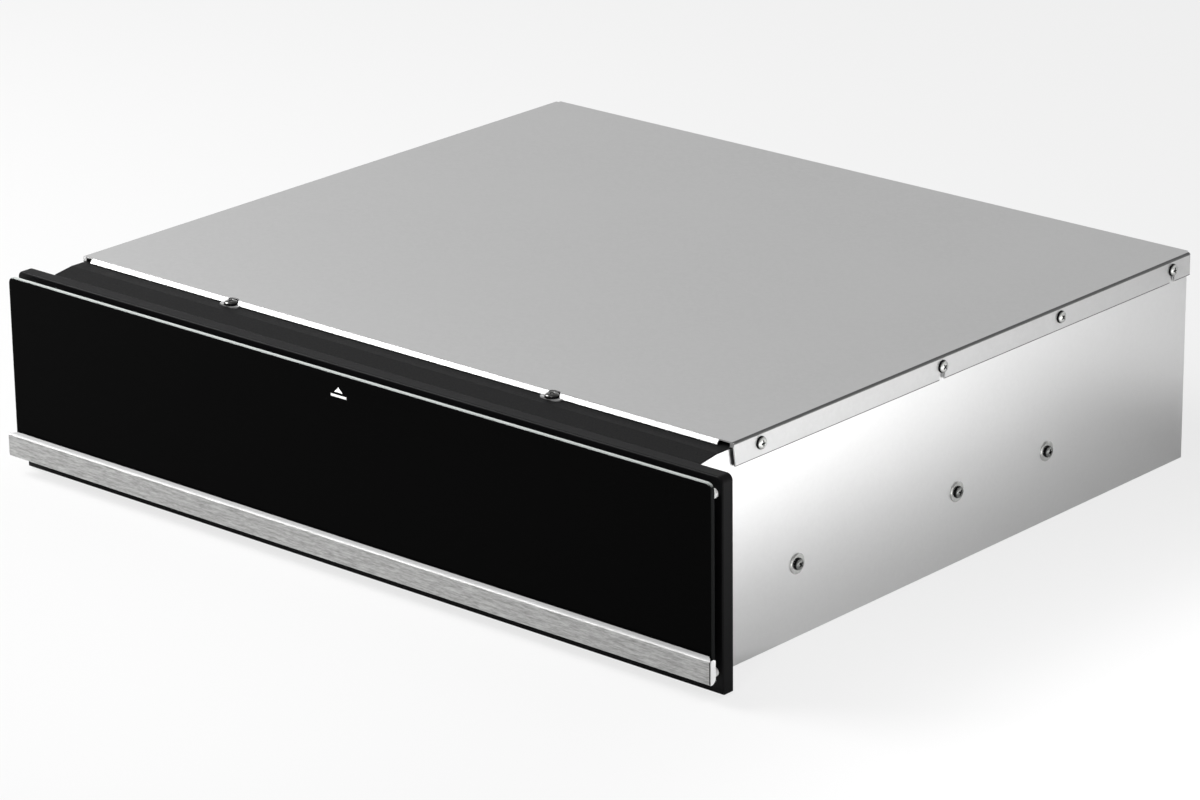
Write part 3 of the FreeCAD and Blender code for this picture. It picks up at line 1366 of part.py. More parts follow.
def frame_screws():
    face = frame_front + head_height + fit_gap
    seats = [(Vector(s * frame_screw_x, face, z), AXIS_Y * -1) for s in (-1, 1) for z in frame_screw_heights]
    return screw_set(cover_screw_head, frame_rear - face + 3.0, seats)


def rail_screws():
    return screw_set(rail_screw_head, rail_screw_length,
                     side_seats(slide_inner + rail_sheet, rail_screw_places, slide_z))


def latch_screws():
    face = sheet + bracket_sheet
    seats = [(Vector(s * latch_foot_x, latch_foot_y, face), AXIS_Z) for s in (-1, 1)]
    return screw_set(cover_screw_head, face, seats)


# ---- the whole object ---------------------------------------------------------
right_side = side_panel()
right_outer = outer_rail()
right_middle = middle_rail()
right_inner = inner_rail()
right_outer_cage = outer_cage()
right_inner_cage = inner_cage()
right_cap = trim_cap_piece()

pieces = {
    "side_panel_right": right_side,
    "side_panel_left": mirrored(right_side),
    "base_panel": base_panel(),
    "rear_panel": rear_panel(),
    "top_cover": top_cover(),
    "front_shelf": front_shelf(),
    "front_frame": front_frame(),
    "frame_bumpers": frame_bumpers(),
    "cover_side_screws": cover_side_screws(),
    "cover_front_screws": cover_front_screws(),
    "cover_rear_screws": cover_rear_screws(),
    "slide_screws": slide_screws(),
    "slide_washers": slide_washers(),
    "frame_screws": frame_screws(),
    "outer_rail_right": right_outer,
    "outer_rail_left": mirrored(right_outer),
    "middle_rail_right": right_middle,
    "middle_rail_left": mirrored(right_middle),
    "inner_rail_right": right_inner,
    "inner_rail_left": mirrored(right_inner),
    "outer_cage_right": right_outer_cage,
    "outer_cage_left": mirrored(right_outer_cage),
    "inner_cage_right": right_inner_cage,
    "inner_cage_left": mirrored(right_inner_cage),
    "outer_slide_balls": ball_set(outer_ball_x, outer_ball_height),
    "inner_slide_balls": ball_set(inner_ball_x, inner_ball_height),
    "drawer_tub": drawer_tub(),
    "front_pan": front_pan(),
    "door_glass": door_glass(),
    "handle_trim": handle_trim(),
    "trim_cap_right": right_cap,
    "trim_cap_left": mirrored(right_cap),
    "slip_mat": slip_mat(),
    "rail_screws": rail_screws(),
    "control_fascia": control_fascia(),
    "heat_regulator": heat_regulator(),
    "regulator_spindle": regulator_spindle(),
    "heat_knob": heat_knob(),
    "switch_housing": switch_housing(),
    "switch_rocker": rocker(),
    "pilot_lamp": lamp(),
    "air_baffle": air_baffle(),
    "fan_impeller": fan_impeller(),
    "fan_shaft": fan_shaft(),
    "motor_stator": motor_stator(),
    "motor_coil": motor_coil(),
    "motor_brackets": motor_brackets(),
    "motor_mount": motor_mount(),
    "ring_heater": ring_heater(),
    "heater_clips": heater_clips(),
    "heater_cutout": heater_cutout(),
    "latch_housing": latch_housing(),
    "latch_plunger": latch_plunger(),
    "latch_bracket": latch_bracket(),
    "latch_striker": latch_striker(),
    "latch_screws": latch_screws(),
    "cable_inlet": cable_inlet(),
    "terminal_block": terminal_block(),
}

os.makedirs("parts", exist_ok=True)
for name, shape in pieces.items():
    shape.exportStep(f"parts/{name}.step")
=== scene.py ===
import json
import math

import bmesh
import bpy
import numpy as np
from mathutils import Matrix, Vector

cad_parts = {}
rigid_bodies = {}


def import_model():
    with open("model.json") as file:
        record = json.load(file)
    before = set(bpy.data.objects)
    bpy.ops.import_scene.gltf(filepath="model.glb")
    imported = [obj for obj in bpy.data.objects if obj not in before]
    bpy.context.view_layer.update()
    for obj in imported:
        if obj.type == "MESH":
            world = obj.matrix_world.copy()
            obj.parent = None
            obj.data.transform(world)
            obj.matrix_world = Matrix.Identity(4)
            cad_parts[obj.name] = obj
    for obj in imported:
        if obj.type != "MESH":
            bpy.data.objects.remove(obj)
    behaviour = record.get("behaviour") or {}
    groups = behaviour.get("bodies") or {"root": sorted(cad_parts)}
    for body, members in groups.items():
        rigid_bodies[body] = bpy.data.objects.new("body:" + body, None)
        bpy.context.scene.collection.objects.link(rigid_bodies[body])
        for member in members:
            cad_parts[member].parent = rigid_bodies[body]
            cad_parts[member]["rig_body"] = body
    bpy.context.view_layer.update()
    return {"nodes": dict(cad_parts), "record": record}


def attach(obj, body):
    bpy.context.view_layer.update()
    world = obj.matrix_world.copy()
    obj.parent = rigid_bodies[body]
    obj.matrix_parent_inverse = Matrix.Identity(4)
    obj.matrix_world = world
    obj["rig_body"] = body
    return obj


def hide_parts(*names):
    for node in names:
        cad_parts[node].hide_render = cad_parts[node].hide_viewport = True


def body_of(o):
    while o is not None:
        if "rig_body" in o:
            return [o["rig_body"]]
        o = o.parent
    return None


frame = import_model()
nodes = frame["nodes"]
mm = 0.001  # sizes are written in mm, and the scene is in metres
weldMm = 0.001  # points nearer than this are one point
noiseRange = (0.3, 0.7)  # where nearly all of a noise field lies
mouldFlowMm = 40  # moulded colour drifts over about this distance


def linear(code):
    # sRGB hex to linear: c / 12.92 below the knee, else ((c + 0.055) / 1.055) to the power 2.4
    channels = [int(code[i:i + 2], 16) / 255 for i in (1, 3, 5)]
    return tuple(c / 12.92 if c <= 0.04045 else ((c + 0.055) / 1.055) ** 2.4 for c in channels) + (1.0,)


def addNode(tree, kind, settings=None, links=None):
    # one shader node: settings name an attribute or a socket, links name the socket that takes a source
    node = tree.nodes.new(kind)
    for name, value in (settings or {}).items():
        if isinstance(name, str) and hasattr(node, name):
            setattr(node, name, value)
        else:
            node.inputs[name].default_value = value
    for name, source in (links or {}).items():
        tree.links.new(source, node.inputs[name])
    return node


def newMaterial(name, settings):
    # an empty tree with one Principled shader; returns the material, its tree, the shader and the
    # object coordinates
    material = bpy.data.materials.new(name)
    material.use_nodes = True
    tree = material.node_tree
    tree.nodes.clear()
    shader = addNode(tree, "ShaderNodeBsdfPrincipled", settings)
    addNode(tree, "ShaderNodeOutputMaterial", links={"Surface": shader.outputs["BSDF"]})
    place = addNode(tree, "ShaderNodeTexCoord").outputs["Object"]
    return material, tree, shader, place


def faceNormal(tree):
    # the face's own direction, split into X, Y and Z
    normal = addNode(tree, "ShaderNodeNewGeometry").outputs["True Normal"]
    return addNode(tree, "ShaderNodeSeparateXYZ", links={"Vector": normal})


def noiseField(tree, place, sizeMm, stretch=(1, 1, 1), detail=3.0, roughness=0.55, offset=(0, 0, 0)):
    # noise whose blobs are about sizeMm across, drawn out by the stretch along each axis
    scale = tuple(1 / s for s in stretch)
    mapped = addNode(tree, "ShaderNodeMapping", {"Scale": scale, "Location": offset}, {"Vector": place})
    noise = addNode(tree, "ShaderNodeTexNoise",
                    {"Scale": 1 / (sizeMm * mm), "Detail": detail, "Roughness": roughness},
                    {"Vector": mapped.outputs["Vector"]})
    return noise.outputs["Fac"]


def dress(tree, shader, look, tone, sheen, height, toneRange=noiseRange, sheenRange=noiseRange):
    # a finish from three fields: tone runs from the pale colour to the dark one, sheen runs through the
    # roughness, and height is a relief that is depthMm deep
    mask = addNode(tree, "ShaderNodeMapRange", {"From Min": toneRange[0], "From Max": toneRange[1]},
                   {"Value": tone}).outputs["Result"]
    colour = addNode(tree, "ShaderNodeMix", {"data_type": "RGBA", 6: linear(look["pale"]),
                                             7: linear(look["dark"])}, {0: mask}).outputs[2]
    polish = addNode(tree, "ShaderNodeMapRange",
                     {"From Min": sheenRange[0], "From Max": sheenRange[1], "To Min": look["roughness"][0],
                      "To Max": look["roughness"][1]}, {"Value": sheen}).outputs["Result"]
    bump = addNode(tree, "ShaderNodeBump", {"Strength": 1.0, "Distance": look["depthMm"] * mm},
                   {"Height": height})
    tree.links.new(colour, shader.inputs["Base Color"])
    tree.links.new(polish, shader.inputs["Roughness"])
    tree.links.new(bump.outputs["Normal"], shader.inputs["Normal"])


def tintWhere(tree, shader, field, ramp, colour):
    # the base colour so far turns to the given one as the field climbs the ramp; returns that 0 to 1 mask
    mask = addNode(tree, "ShaderNodeMapRange", {"From Min": ramp[0], "From Max": ramp[1]},
                   {"Value": field}).outputs["Result"]
    base = shader.inputs["Base Color"]
    mix = addNode(tree, "ShaderNodeMix",
                  {"data_type": "RGBA", 6: base.default_value, 7: linear(colour)}, {0: mask})
    if base.is_linked:
        tree.links.new(base.links[0].from_socket, mix.inputs[6])
    tree.links.new(mix.outputs[2], base)
    return mask


def meshPoints(name):
    # a node's vertices in mm, one row each
    mesh = nodes[name].data
    points = np.empty(3 * len(mesh.vertices))
    mesh.vertices.foreach_get("co", points)
    return points.reshape(-1, 3) / mm


def gridFaces(rows, columns, closed=False):
    # quads of a rows by columns grid of points; closed joins each row's end to its start
    across = columns if closed else columns - 1
    row, column = np.meshgrid(np.arange(rows - 1), np.arange(across), indexing="ij")
    after = (column + 1) % columns
    return np.stack([row * columns + column, (row + 1) * columns + column, (row + 1) * columns + after,
                     row * columns + after], axis=-1).reshape(-1, 4)


def addPiece(name, points, faces, material, body, sharp=35, paintedShade=None):
    # points in mm; doubles merge, so poles and seams close, and faces turn outwards
    # edges that bend by more than sharp degrees stay crisp; shelter is each point's 0 to 1 share of painted
    # shade
    mesh = bpy.data.meshes.new(name)
    mesh.from_pydata((np.asarray(points) * mm).tolist(), [], [list(map(int, face)) for face in faces])
    if paintedShade is not None:
        mesh.attributes.new("paintedShade", "FLOAT", "POINT").data.foreach_set("value", paintedShade)
    shell = bmesh.new()
    shell.from_mesh(mesh)
    bmesh.ops.remove_doubles(shell, verts=shell.verts, dist=weldMm * mm)
    bmesh.ops.recalc_face_normals(shell, faces=shell.faces)
    shell.to_mesh(mesh)
    shell.free()
    mesh.polygons.foreach_set("use_smooth", [True] * len(mesh.polygons))
    mesh.set_sharp_from_angle(angle=math.radians(sharp))
    mesh.materials.append(material)
    piece = bpy.data.objects.new(name, mesh)
    bpy.context.scene.collection.objects.link(piece)
    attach(piece, body)
    return piece


def galvanisedSheet(name, look):
    # hot-dip zinc rolled flat: satin grey with a faint fine spangle and slow clouding
    # the rolls' grain is near 0.1 mm, too fine to show, and is drawn at grainMm
    material, tree, shader, place = newMaterial(name, {"Metallic": 1.0})
    cells = addNode(tree, "ShaderNodeTexVoronoi", {"Scale": 1 / (look["spangleMm"] * mm)}, {"Vector": place})
    spangle = addNode(tree, "ShaderNodeSeparateColor", links={"Color": cells.outputs["Color"]}).outputs[0]
    cloud = noiseField(tree, place, look["cloudMm"], detail=4)
    clouded = addNode(tree, "ShaderNodeMath", {"operation": "MULTIPLY"}, {0: spangle, 1: cloud}).outputs[0]
    grain = noiseField(tree, place, look["grainMm"], detail=2)
    dress(tree, shader, look, clouded, cloud, grain, toneRange=(0, 1), sheenRange=(0.1, 0.9))
    # the side folds are painted dark as painted shade, and the pressed lip turns a darker grey: both are
    # where the face looks partly up and partly along the axis
    for axis, colour, ramp in look.get("folds", []):
        part = faceNormal(tree)
        product = addNode(tree, "ShaderNodeMath", {"operation": "MULTIPLY"},
                          {0: part.outputs[axis], 1: part.outputs["Z"]}).outputs[0]
        size = addNode(tree, "ShaderNodeMath", {"operation": "ABSOLUTE"}, {0: product}).outputs[0]
        tintWhere(tree, shader, size, ramp, colour)
    return material


def brushedSteel(name, look):
    # belt-ground stainless: long fine scratches that streak the highlight along the grain
    # a belt's scratches are near 0.05 mm wide, too fine to show, and are drawn at scratchMm
    material, tree, shader, place = newMaterial(name, {"Metallic": 1.0})
    if "wraps" in look:
        # faces that look sideways were brushed along Y, all others along X: X and Y change places there
        part = addNode(tree, "ShaderNodeSeparateXYZ", links={"Vector": place})
        swapped = addNode(tree, "ShaderNodeCombineXYZ", links={"X": part.outputs["Y"], "Y": part.outputs["X"],
                                                               "Z": part.outputs["Z"]}).outputs[0]
        sideways = addNode(tree, "ShaderNodeMath", {"operation": "ABSOLUTE"},
                           {0: faceNormal(tree).outputs["X"]}).outputs[0]
        low, high = look["wraps"]
        mask = addNode(tree, "ShaderNodeMapRange", {"From Min": low, "From Max": high},
                       {"Value": sideways}).outputs["Result"]
        place = addNode(tree, "ShaderNodeMix", {"data_type": "VECTOR"},
                        {0: mask, 4: place, 5: swapped}).outputs[1]
    streaks = noiseField(tree, place, look["scratchMm"], look["stretch"], detail=4, roughness=0.65)
    bands = noiseField(tree, place, look["bandMm"], look["stretch"], detail=2, offset=(0.31, 0.17, 0.53))
    both = addNode(tree, "ShaderNodeMath", {"operation": "ADD"}, {0: streaks, 1: bands}).outputs[0]
    dress(tree, shader, look, both, streaks, streaks, toneRange=(0.75, 1.25))
    if "ledge" in look:
        # ledges are matt where the brushing runs off them and are painted pale as a painted highlight; the
        # ends are painted dark as painted shade
        part = faceNormal(tree)
        level, end = (addNode(tree, "ShaderNodeMath", {"operation": "ABSOLUTE"},
                              {0: part.outputs[axis]}).outputs[0] for axis in ("Z", "X"))
        ledge = tintWhere(tree, shader, level, look["ledgeRamp"], look["ledge"])
        tintWhere(tree, shader, end, look["ledgeRamp"], look["endShade"])
        brushed = shader.inputs["Roughness"].links[0].from_socket
        matt = addNode(tree, "ShaderNodeMath", {"operation": "MULTIPLY_ADD", 1: look["ledgeMatt"]},
                       {0: ledge, 2: brushed}).outputs[0]
        tree.links.new(matt, shader.inputs["Roughness"])
        metal = addNode(tree, "ShaderNodeMapRange", {"To Min": 1.0, "To Max": look["ledgeMetal"]},
                        {"Value": ledge}).outputs["Result"]
        tree.links.new(metal, shader.inputs["Metallic"])
    return material


def powderCoat(name, look):
    # stoved powder: even colour with a soft orange peel that breaks the highlight
    material, tree, shader, place = newMaterial(name, {"Metallic": 0.0, "Specular IOR Level": look["gloss"]})
    peel = noiseField(tree, place, look["peelMm"], detail=2)
    dress(tree, shader, look, peel, peel, peel)
    return material


def mouldedPlastic(name, look):
    # spark-eroded mould grain: a fine pebble that keeps plastic matt, and a colour that drifts slowly
    # the pebble is near 0.05 mm, too fine to show, and is drawn at grainMm
    material, tree, shader, place = newMaterial(name, {"Metallic": 0.0, "IOR": 1.5,
                                                       "Specular IOR Level": look.get("gloss", 0.5)})
    pebble = noiseField(tree, place, look["grainMm"], detail=2, roughness=0.6)
    flow = noiseField(tree, place, mouldFlowMm, detail=2)
    dress(tree, shader, look, flow, pebble, pebble)
    return material


def blackGlass():
    # float glass with black ceramic enamel behind it: deep black face, dark grey ground side edges, and top
    # edges painted pale as a painted highlight
    look = {"face": "#020202", "topHighlight": "#b4b8b6", "highlightRamp": (0.5, 0.8), "sideEdge": "#1c1d1d",
            "sideRamp": (0.1, 0.3), "smearMm": 60, "roughness": (0.03, 0.06)}
    material, tree, shader, place = newMaterial("black enamelled float glass", {
        "Base Color": linear(look["face"]), "Metallic": 0.0, "IOR": 1.52, "Specular IOR Level": 0.012})
    part = faceNormal(tree)
    squared = addNode(tree, "ShaderNodeMath", {"operation": "MULTIPLY"},
                      {0: part.outputs["X"], 1: part.outputs["X"]}).outputs[0]
    tintWhere(tree, shader, squared, look["sideRamp"], look["sideEdge"])
    # painted highlight: faces that look up are tinted pale
    tintWhere(tree, shader, part.outputs["Z"], look["highlightRamp"], look["topHighlight"])
    # wiped glass is never quite even: a slow smear in its polish
    smear = noiseField(tree, place, look["smearMm"], detail=3)
    polish = addNode(tree, "ShaderNodeMapRange",
                     {"From Min": noiseRange[0], "From Max": noiseRange[1], "To Min": look["roughness"][0],
                      "To Max": look["roughness"][1]}, {"Value": smear}).outputs["Result"]
    tree.links.new(polish, shader.inputs["Roughness"])
    return material


def softRubber(name, look):
    # moulded silicone: even and slightly waxy, with a very fine grain that is drawn at grainMm to show
    material, tree, shader, place = newMaterial(name, {"Metallic": 0.0, "IOR": 1.43})
    grain = noiseField(tree, place, look["grainMm"], detail=2)
    dress(tree, shader, look, grain, grain, grain)
    return material


def platedSteel(name, look):
    # plated or bright metal, turned or pressed: small soft highlights, slightly uneven tone
    material, tree, shader, place = newMaterial(name, {"Metallic": 1.0})
    tone = noiseField(tree, place, look["toneMm"], detail=3)
    dress(tree, shader, look, tone, tone, tone)
    if "shadeColour" in look:
        # painted shade: recesses and the sides of heads are tinted dark, standing for the shade that falls in
        # the cross and the dark that a head's side mirrors
        paintedShade = addNode(tree, "ShaderNodeAttribute", {"attribute_name": "paintedShade"}).outputs["Fac"]
        tintWhere(tree, shader, paintedShade, (0, 1), look["shadeColour"])
    return material


# a roughness range that crosses 0.274 makes the noise filter draw contour lines, so this one stays above it
galvanised = galvanisedSheet("galvanised steel sheet, skin-passed", {
    "pale": "#dddddd", "dark": "#dadada", "roughness": (0.276, 0.28), "spangleMm": 2.4, "cloudMm": 90,
    "grainMm": 0.5, "depthMm": 0.0008})
# the matt side hides the spangle and blurs what it mirrors; the folds are painted dark as painted shade, and
# the lip is darker
galvanisedCover = galvanisedSheet("galvanised steel cover, matt side out", {
    "pale": "#c6c6c6", "dark": "#c1c1c1", "roughness": (0.46, 0.49), "spangleMm": 2.4, "cloudMm": 140,
    "grainMm": 0.5, "depthMm": 0.003,
    "folds": [("X", "#6b6b6b", (0.02, 0.12)), ("Y", "#8f8f8f", (0.2, 0.4))]})
finishes = {
    "zinc_sheet": galvanised,
    # nearly black and matt, with no mirror image
    "black_sheet": powderCoat("black powder coat on steel", {
        "pale": "#191919", "dark": "#141415", "peelMm": 0.9, "depthMm": 0.02, "roughness": (0.5, 0.6),
        "gloss": 0.05}),
    # deep black that lifts a little along its rounded edges
    "black_moulding": mouldedPlastic("black ABS, moulded frame", {
        "pale": "#0d0d0e", "dark": "#080809", "grainMm": 0.4, "depthMm": 0.012, "roughness": (0.42, 0.55),
        "gloss": 0.07}),
    # milky and pale, with a soft wide highlight
    "white_rubber": softRubber("milky silicone bumper", {
        "pale": "#fafaf9", "dark": "#efefed", "grainMm": 0.6, "depthMm": 0.005, "roughness": (0.25, 0.35)}),
    # bright domes, with recesses and head sides darkened as painted shade
    "plated_screw": platedSteel("zinc-plated screw steel", {
        "pale": "#c9c9c7", "dark": "#b4b5b3", "toneMm": 1.4, "depthMm": 0.004, "roughness": (0.2, 0.28),
        "shadeColour": "#1b1b1c"}),
    # bluish zinc with rolling lines along the rail
    "rail_steel": brushedSteel("rolled zinc-plated rail steel", {
        "pale": "#c6cacf", "dark": "#a9adb3", "scratchMm": 0.5, "bandMm": 2.5, "stretch": (1, 60, 1),
        "depthMm": 0.01, "roughness": (0.26, 0.38)}),
    # dull yellowish grey from the strip's oil
    "cage_steel": platedSteel("pressed strip steel", {
        "pale": "#9a9a96", "dark": "#80807c", "toneMm": 6, "depthMm": 0.01, "roughness": (0.35, 0.45)}),
    # small mirror-bright balls
    "ball_steel": platedSteel("polished bearing steel", {
        "pale": "#e0e0e2", "dark": "#d4d4d6", "toneMm": 2, "depthMm": 0.001, "roughness": (0.05, 0.09)}),
    # warm grey with long lines that run round the tub's walls
    "tub_steel": brushedSteel("brushed stainless tub", {
        "pale": "#c8c8c7", "dark": "#adadac", "scratchMm": 0.35, "bandMm": 3.0, "stretch": (80, 1, 1),
        "depthMm": 0.012, "roughness": (0.24, 0.36), "wraps": (0.5, 0.6)}),
    # harder and glossier black than the powder coat
    "pan_steel": powderCoat("black stoved enamel", {
        "pale": "#1d1d1e", "dark": "#161617", "peelMm": 1.2, "depthMm": 0.02, "roughness": (0.3, 0.4),
        "gloss": 0.4}),
    "black_glass": blackGlass(),
    # short visible grain along the trim; matt ledges painted pale as a painted highlight, ends painted dark
    # as painted shade
    "trim_steel": brushedSteel("long-grain brushed stainless trim", {
        "pale": "#adadac", "dark": "#7f7f7e", "scratchMm": 0.45, "bandMm": 1.6, "stretch": (9, 1, 1),
        "depthMm": 0.02, "roughness": (0.3, 0.42), "ledge": "#b6b6b6", "endShade": "#2c2c2c",
        "ledgeRamp": (0.5, 0.8), "ledgeMatt": 0.4, "ledgeMetal": 0.3}),
    # smooth and nearly white
    "trim_cap": mouldedPlastic("satin moulded end cap", {
        "pale": "#fafafa", "dark": "#f3f3f2", "grainMm": 0.3, "depthMm": 0.002, "roughness": (0.3, 0.38)}),
    # dark slate, soft and dry
    "mat_rubber": softRubber("dark silicone mat", {
        "pale": "#3a3b3e", "dark": "#2f3032", "grainMm": 0.6, "depthMm": 0.02, "roughness": (0.5, 0.62)}),
    # soft black with a fine even texture
    "fascia_black": mouldedPlastic("black ABS, fine grained", {
        "pale": "#222224", "dark": "#1b1b1d", "grainMm": 0.45, "depthMm": 0.015,
        "roughness": (0.45, 0.58)}),
    # smoother than the fascia, so the knob's rim catches light
    "knob_black": mouldedPlastic("satin black phenolic knob", {
        "pale": "#1c1c1e", "dark": "#151517", "grainMm": 0.3, "depthMm": 0.006, "roughness": (0.28, 0.36)}),
    # turned steel, bright and clean
    "spindle": platedSteel("turned bright steel", {
        "pale": "#bcbcbb", "dark": "#a5a5a4", "toneMm": 3, "depthMm": 0.006, "roughness": (0.2, 0.3)}),
    # matt bezel round the rocker
    "switch_black": mouldedPlastic("black nylon", {
        "pale": "#191919", "dark": "#131313", "grainMm": 0.35, "depthMm": 0.01, "roughness": (0.4, 0.5)}),
    # polished by its mould, with a sharp highlight in its hollow
    "rocker_black": mouldedPlastic("glossy black nylon rocker", {
        "pale": "#161616", "dark": "#111111", "grainMm": 0.5, "depthMm": 0.004, "roughness": (0.14, 0.2)}),
    # clean red with a small hard highlight
    "lamp_red": mouldedPlastic("red polycarbonate lens", {
        "pale": "#c8241a", "dark": "#b51d14", "grainMm": 0.6, "depthMm": 0.003, "roughness": (0.08, 0.14)}),
    # pale and silky
    "impeller": platedSteel("pressed aluminium", {
        "pale": "#d6d7d9", "dark": "#c6c7c9", "toneMm": 5, "depthMm": 0.01, "roughness": (0.28, 0.4)}),
    # dark grey under a thin varnish
    "stack": platedSteel("varnished laminations", {
        "pale": "#6a6b6e", "dark": "#505154", "toneMm": 2, "depthMm": 0.02, "roughness": (0.4, 0.55)}),
    # yellow film with a soft shine
    "coil_tape": mouldedPlastic("polyester winding tape", {
        "pale": "#d6b84a", "dark": "#c4a53a", "grainMm": 0.6, "depthMm": 0.02, "roughness": (0.35, 0.45)}),
    # brown to grey tint where it has been hot
    "element_sheath": platedSteel("heat-tinted steel sheath", {
        "pale": "#5b5652", "dark": "#3f3c3b", "toneMm": 8, "depthMm": 0.01, "roughness": (0.35, 0.5)}),
    # dark brown, dense and even
    "cutout": mouldedPlastic("brown phenolic", {
        "pale": "#3b2c22", "dark": "#30231b", "grainMm": 0.5, "depthMm": 0.01, "roughness": (0.35, 0.45)}),
    # slightly warm white, slippery
    "latch_white": mouldedPlastic("white acetal", {
        "pale": "#e6e5e0", "dark": "#dbdad5", "grainMm": 0.6, "depthMm": 0.006, "roughness": (0.3, 0.4)}),
    # cream, duller than the acetal
    "terminal": mouldedPlastic("pale nylon terminal", {
        "pale": "#dedbcf", "dark": "#d1cec2", "grainMm": 0.6, "depthMm": 0.01, "roughness": (0.4, 0.5)}),
}
# these heads also get painted shade in their crosses and on their sides
dullPlate = {"pale": "#8c8d8b", "dark": "#6f706e", "toneMm": 1.4, "depthMm": 0.004, "roughness": (0.22, 0.3),
             "shadeColour": "#141415"}
# painted shade: the lip screws are made darker to stand for the shadow under their ears and the dark their
# sides mirror
darkPlate = {**dullPlate, "pale": "#6c6c6b", "dark": "#545453"}
slidePlate = platedSteel("dull zinc plate, hot dipped", dullPlate)  # greyer heads than the cover's screws
lipPlate = platedSteel("zinc plate darkened as painted shade", darkPlate)  # darker still, so little shines
byNode = {"top_cover": galvanisedCover}
screwFinishes = {"slide_screws": slidePlate, "cover_front_screws": lipPlate}
for row in frame["record"]["subparts"]:
    mesh = nodes[row["node"]].data
    mesh.materials.clear()
    mesh.materials.append(byNode.get(row["node"], finishes[row["material_slot"]]))
print("materials:", len(finishes))


screwSets = {"cover_side_screws": "sideways", "cover_front_screws": "up", "cover_rear_screws": "back",
             "slide_screws": "sideways", "frame_screws": "front", "rail_screws": "sideways",
             "latch_screws": "up"}
# the cross in a head: armSteps and tip are grid lines, as shares of the arm
recess = {"armMm": 1.9, "halfWidthMm": 0.5, "wallMm": 0.16, "depthMm": 1.9, "armCurve": 0.6,
          "armSteps": (0.55, 0.8, 0.97), "tip": 1.06}
# rings are grid lines from the cross's tip to the rim; the head's side begins at sideFrom of its radius
screw = {"headMm": 2.4, "domeCurve": 0.45, "rings": (0.22, 0.42, 0.6, 0.74, 0.85, 0.92, 0.965, 0.99, 1.0),
         "shankMm": 2.0, "pointMm": 0.5, "pointShare": 0.7, "sideFrom": 0.86, "sideOver": 0.08, "apartMm": 20,
         "seed": 5}


def screwShape(radius, length):
    # head: a square grid drawn to a disc by x = u sqrt(1 - v²/2), y = v sqrt(1 - u²/2), raised by
    # height (1 - r⁴)^domeCurve and sunk by the cross, which is deepest in the middle and rises
    # along its arms
    # shank: the head's rim carried in and down through a profile of radius and height
    width, wall, arm = (recess[key] / radius for key in ("halfWidthMm", "wallMm", "armMm"))
    tip = recess["tip"] * arm
    outer = tip + (1 - tip) * np.array(screw["rings"])
    walls = np.array([0, 0.5 * width, width - wall / 2, width + wall / 2])
    half = np.concatenate([walls, np.array(recess["armSteps"]) * arm, [tip], outer])
    line = np.concatenate([-half[:0:-1], half])
    u, v = np.meshgrid(line, line, indexing="ij")
    x = u * np.sqrt(1 - v ** 2 / 2)
    y = v * np.sqrt(1 - u ** 2 / 2)
    dome = np.clip(1 - (x ** 2 + y ** 2) ** 2, 0, 1) ** screw["domeCurve"]
    across = [np.clip((width + wall / 2 - np.abs(side)) / wall, 0, 1) for side in (v, u)]
    along = [np.clip(1 - np.abs(way) / arm, 0, 1) ** recess["armCurve"] for way in (u, v)]
    cross = np.maximum(across[0] * along[0], across[1] * along[1])
    z = screw["headMm"] * dome - recess["depthMm"] * cross
    head = np.stack([radius * x, radius * y, z], axis=-1).reshape(-1, 3)
    count = len(line)
    index = np.arange(count * count).reshape(count, count)
    rim = np.concatenate([index[0, :-1], index[:-1, -1], index[-1, :0:-1], index[:0:-1, 0]])
    shank = screw["shankMm"]
    profile = np.array([(radius, 0), (shank, 0), (shank, screw["pointMm"] - length),
                        (screw["pointShare"] * shank, -length), (0, -length)])
    lower = head[rim][None] * [1, 1, 0] * (profile[:, 0] / radius)[:, None, None]
    lower = lower + profile[:, 1][:, None, None] * [0, 0, 1]
    faces = np.concatenate([gridFaces(count, count), gridFaces(len(profile), len(rim), True) + len(head)])
    # painted shade: the cross, the head's side and the whole shank
    side = np.clip((np.hypot(x, y) - screw["sideFrom"]) / screw["sideOver"], 0, 1)
    onHead = np.maximum(np.minimum(2 * cross, 1), side).ravel()
    paintedShade = np.concatenate([onHead, np.ones(lower[..., 0].size)])
    return np.concatenate([head, lower.reshape(-1, 3)]), faces, paintedShade


def screwSeats(name, way):
    # vertices nearer than apartMm to the first one left are one screw, whose seat is under its head
    # each seat is its middle, its axis, the head's radius and the shank's length
    left = meshPoints(name)
    seats = []
    while len(left):
        near = np.linalg.norm(left - left[0], axis=1) < screw["apartMm"]
        low, high = left[near].min(axis=0), left[near].max(axis=0)
        left = left[~near]
        middle = (low + high) / 2
        axis = np.array({"sideways": (np.sign(middle[0]), 0, 0), "up": (0, 0, 1), "back": (0, 1, 0),
                         "front": (0, -1, 0)}[way], float)
        along = np.abs(axis) > 0.5
        reach = (high - low) / 2
        seats.append((middle + axis * (reach[along][0] - screw["headMm"]), axis, reach[~along].max(),
                      2 * reach[along][0] - screw["headMm"]))
    return seats


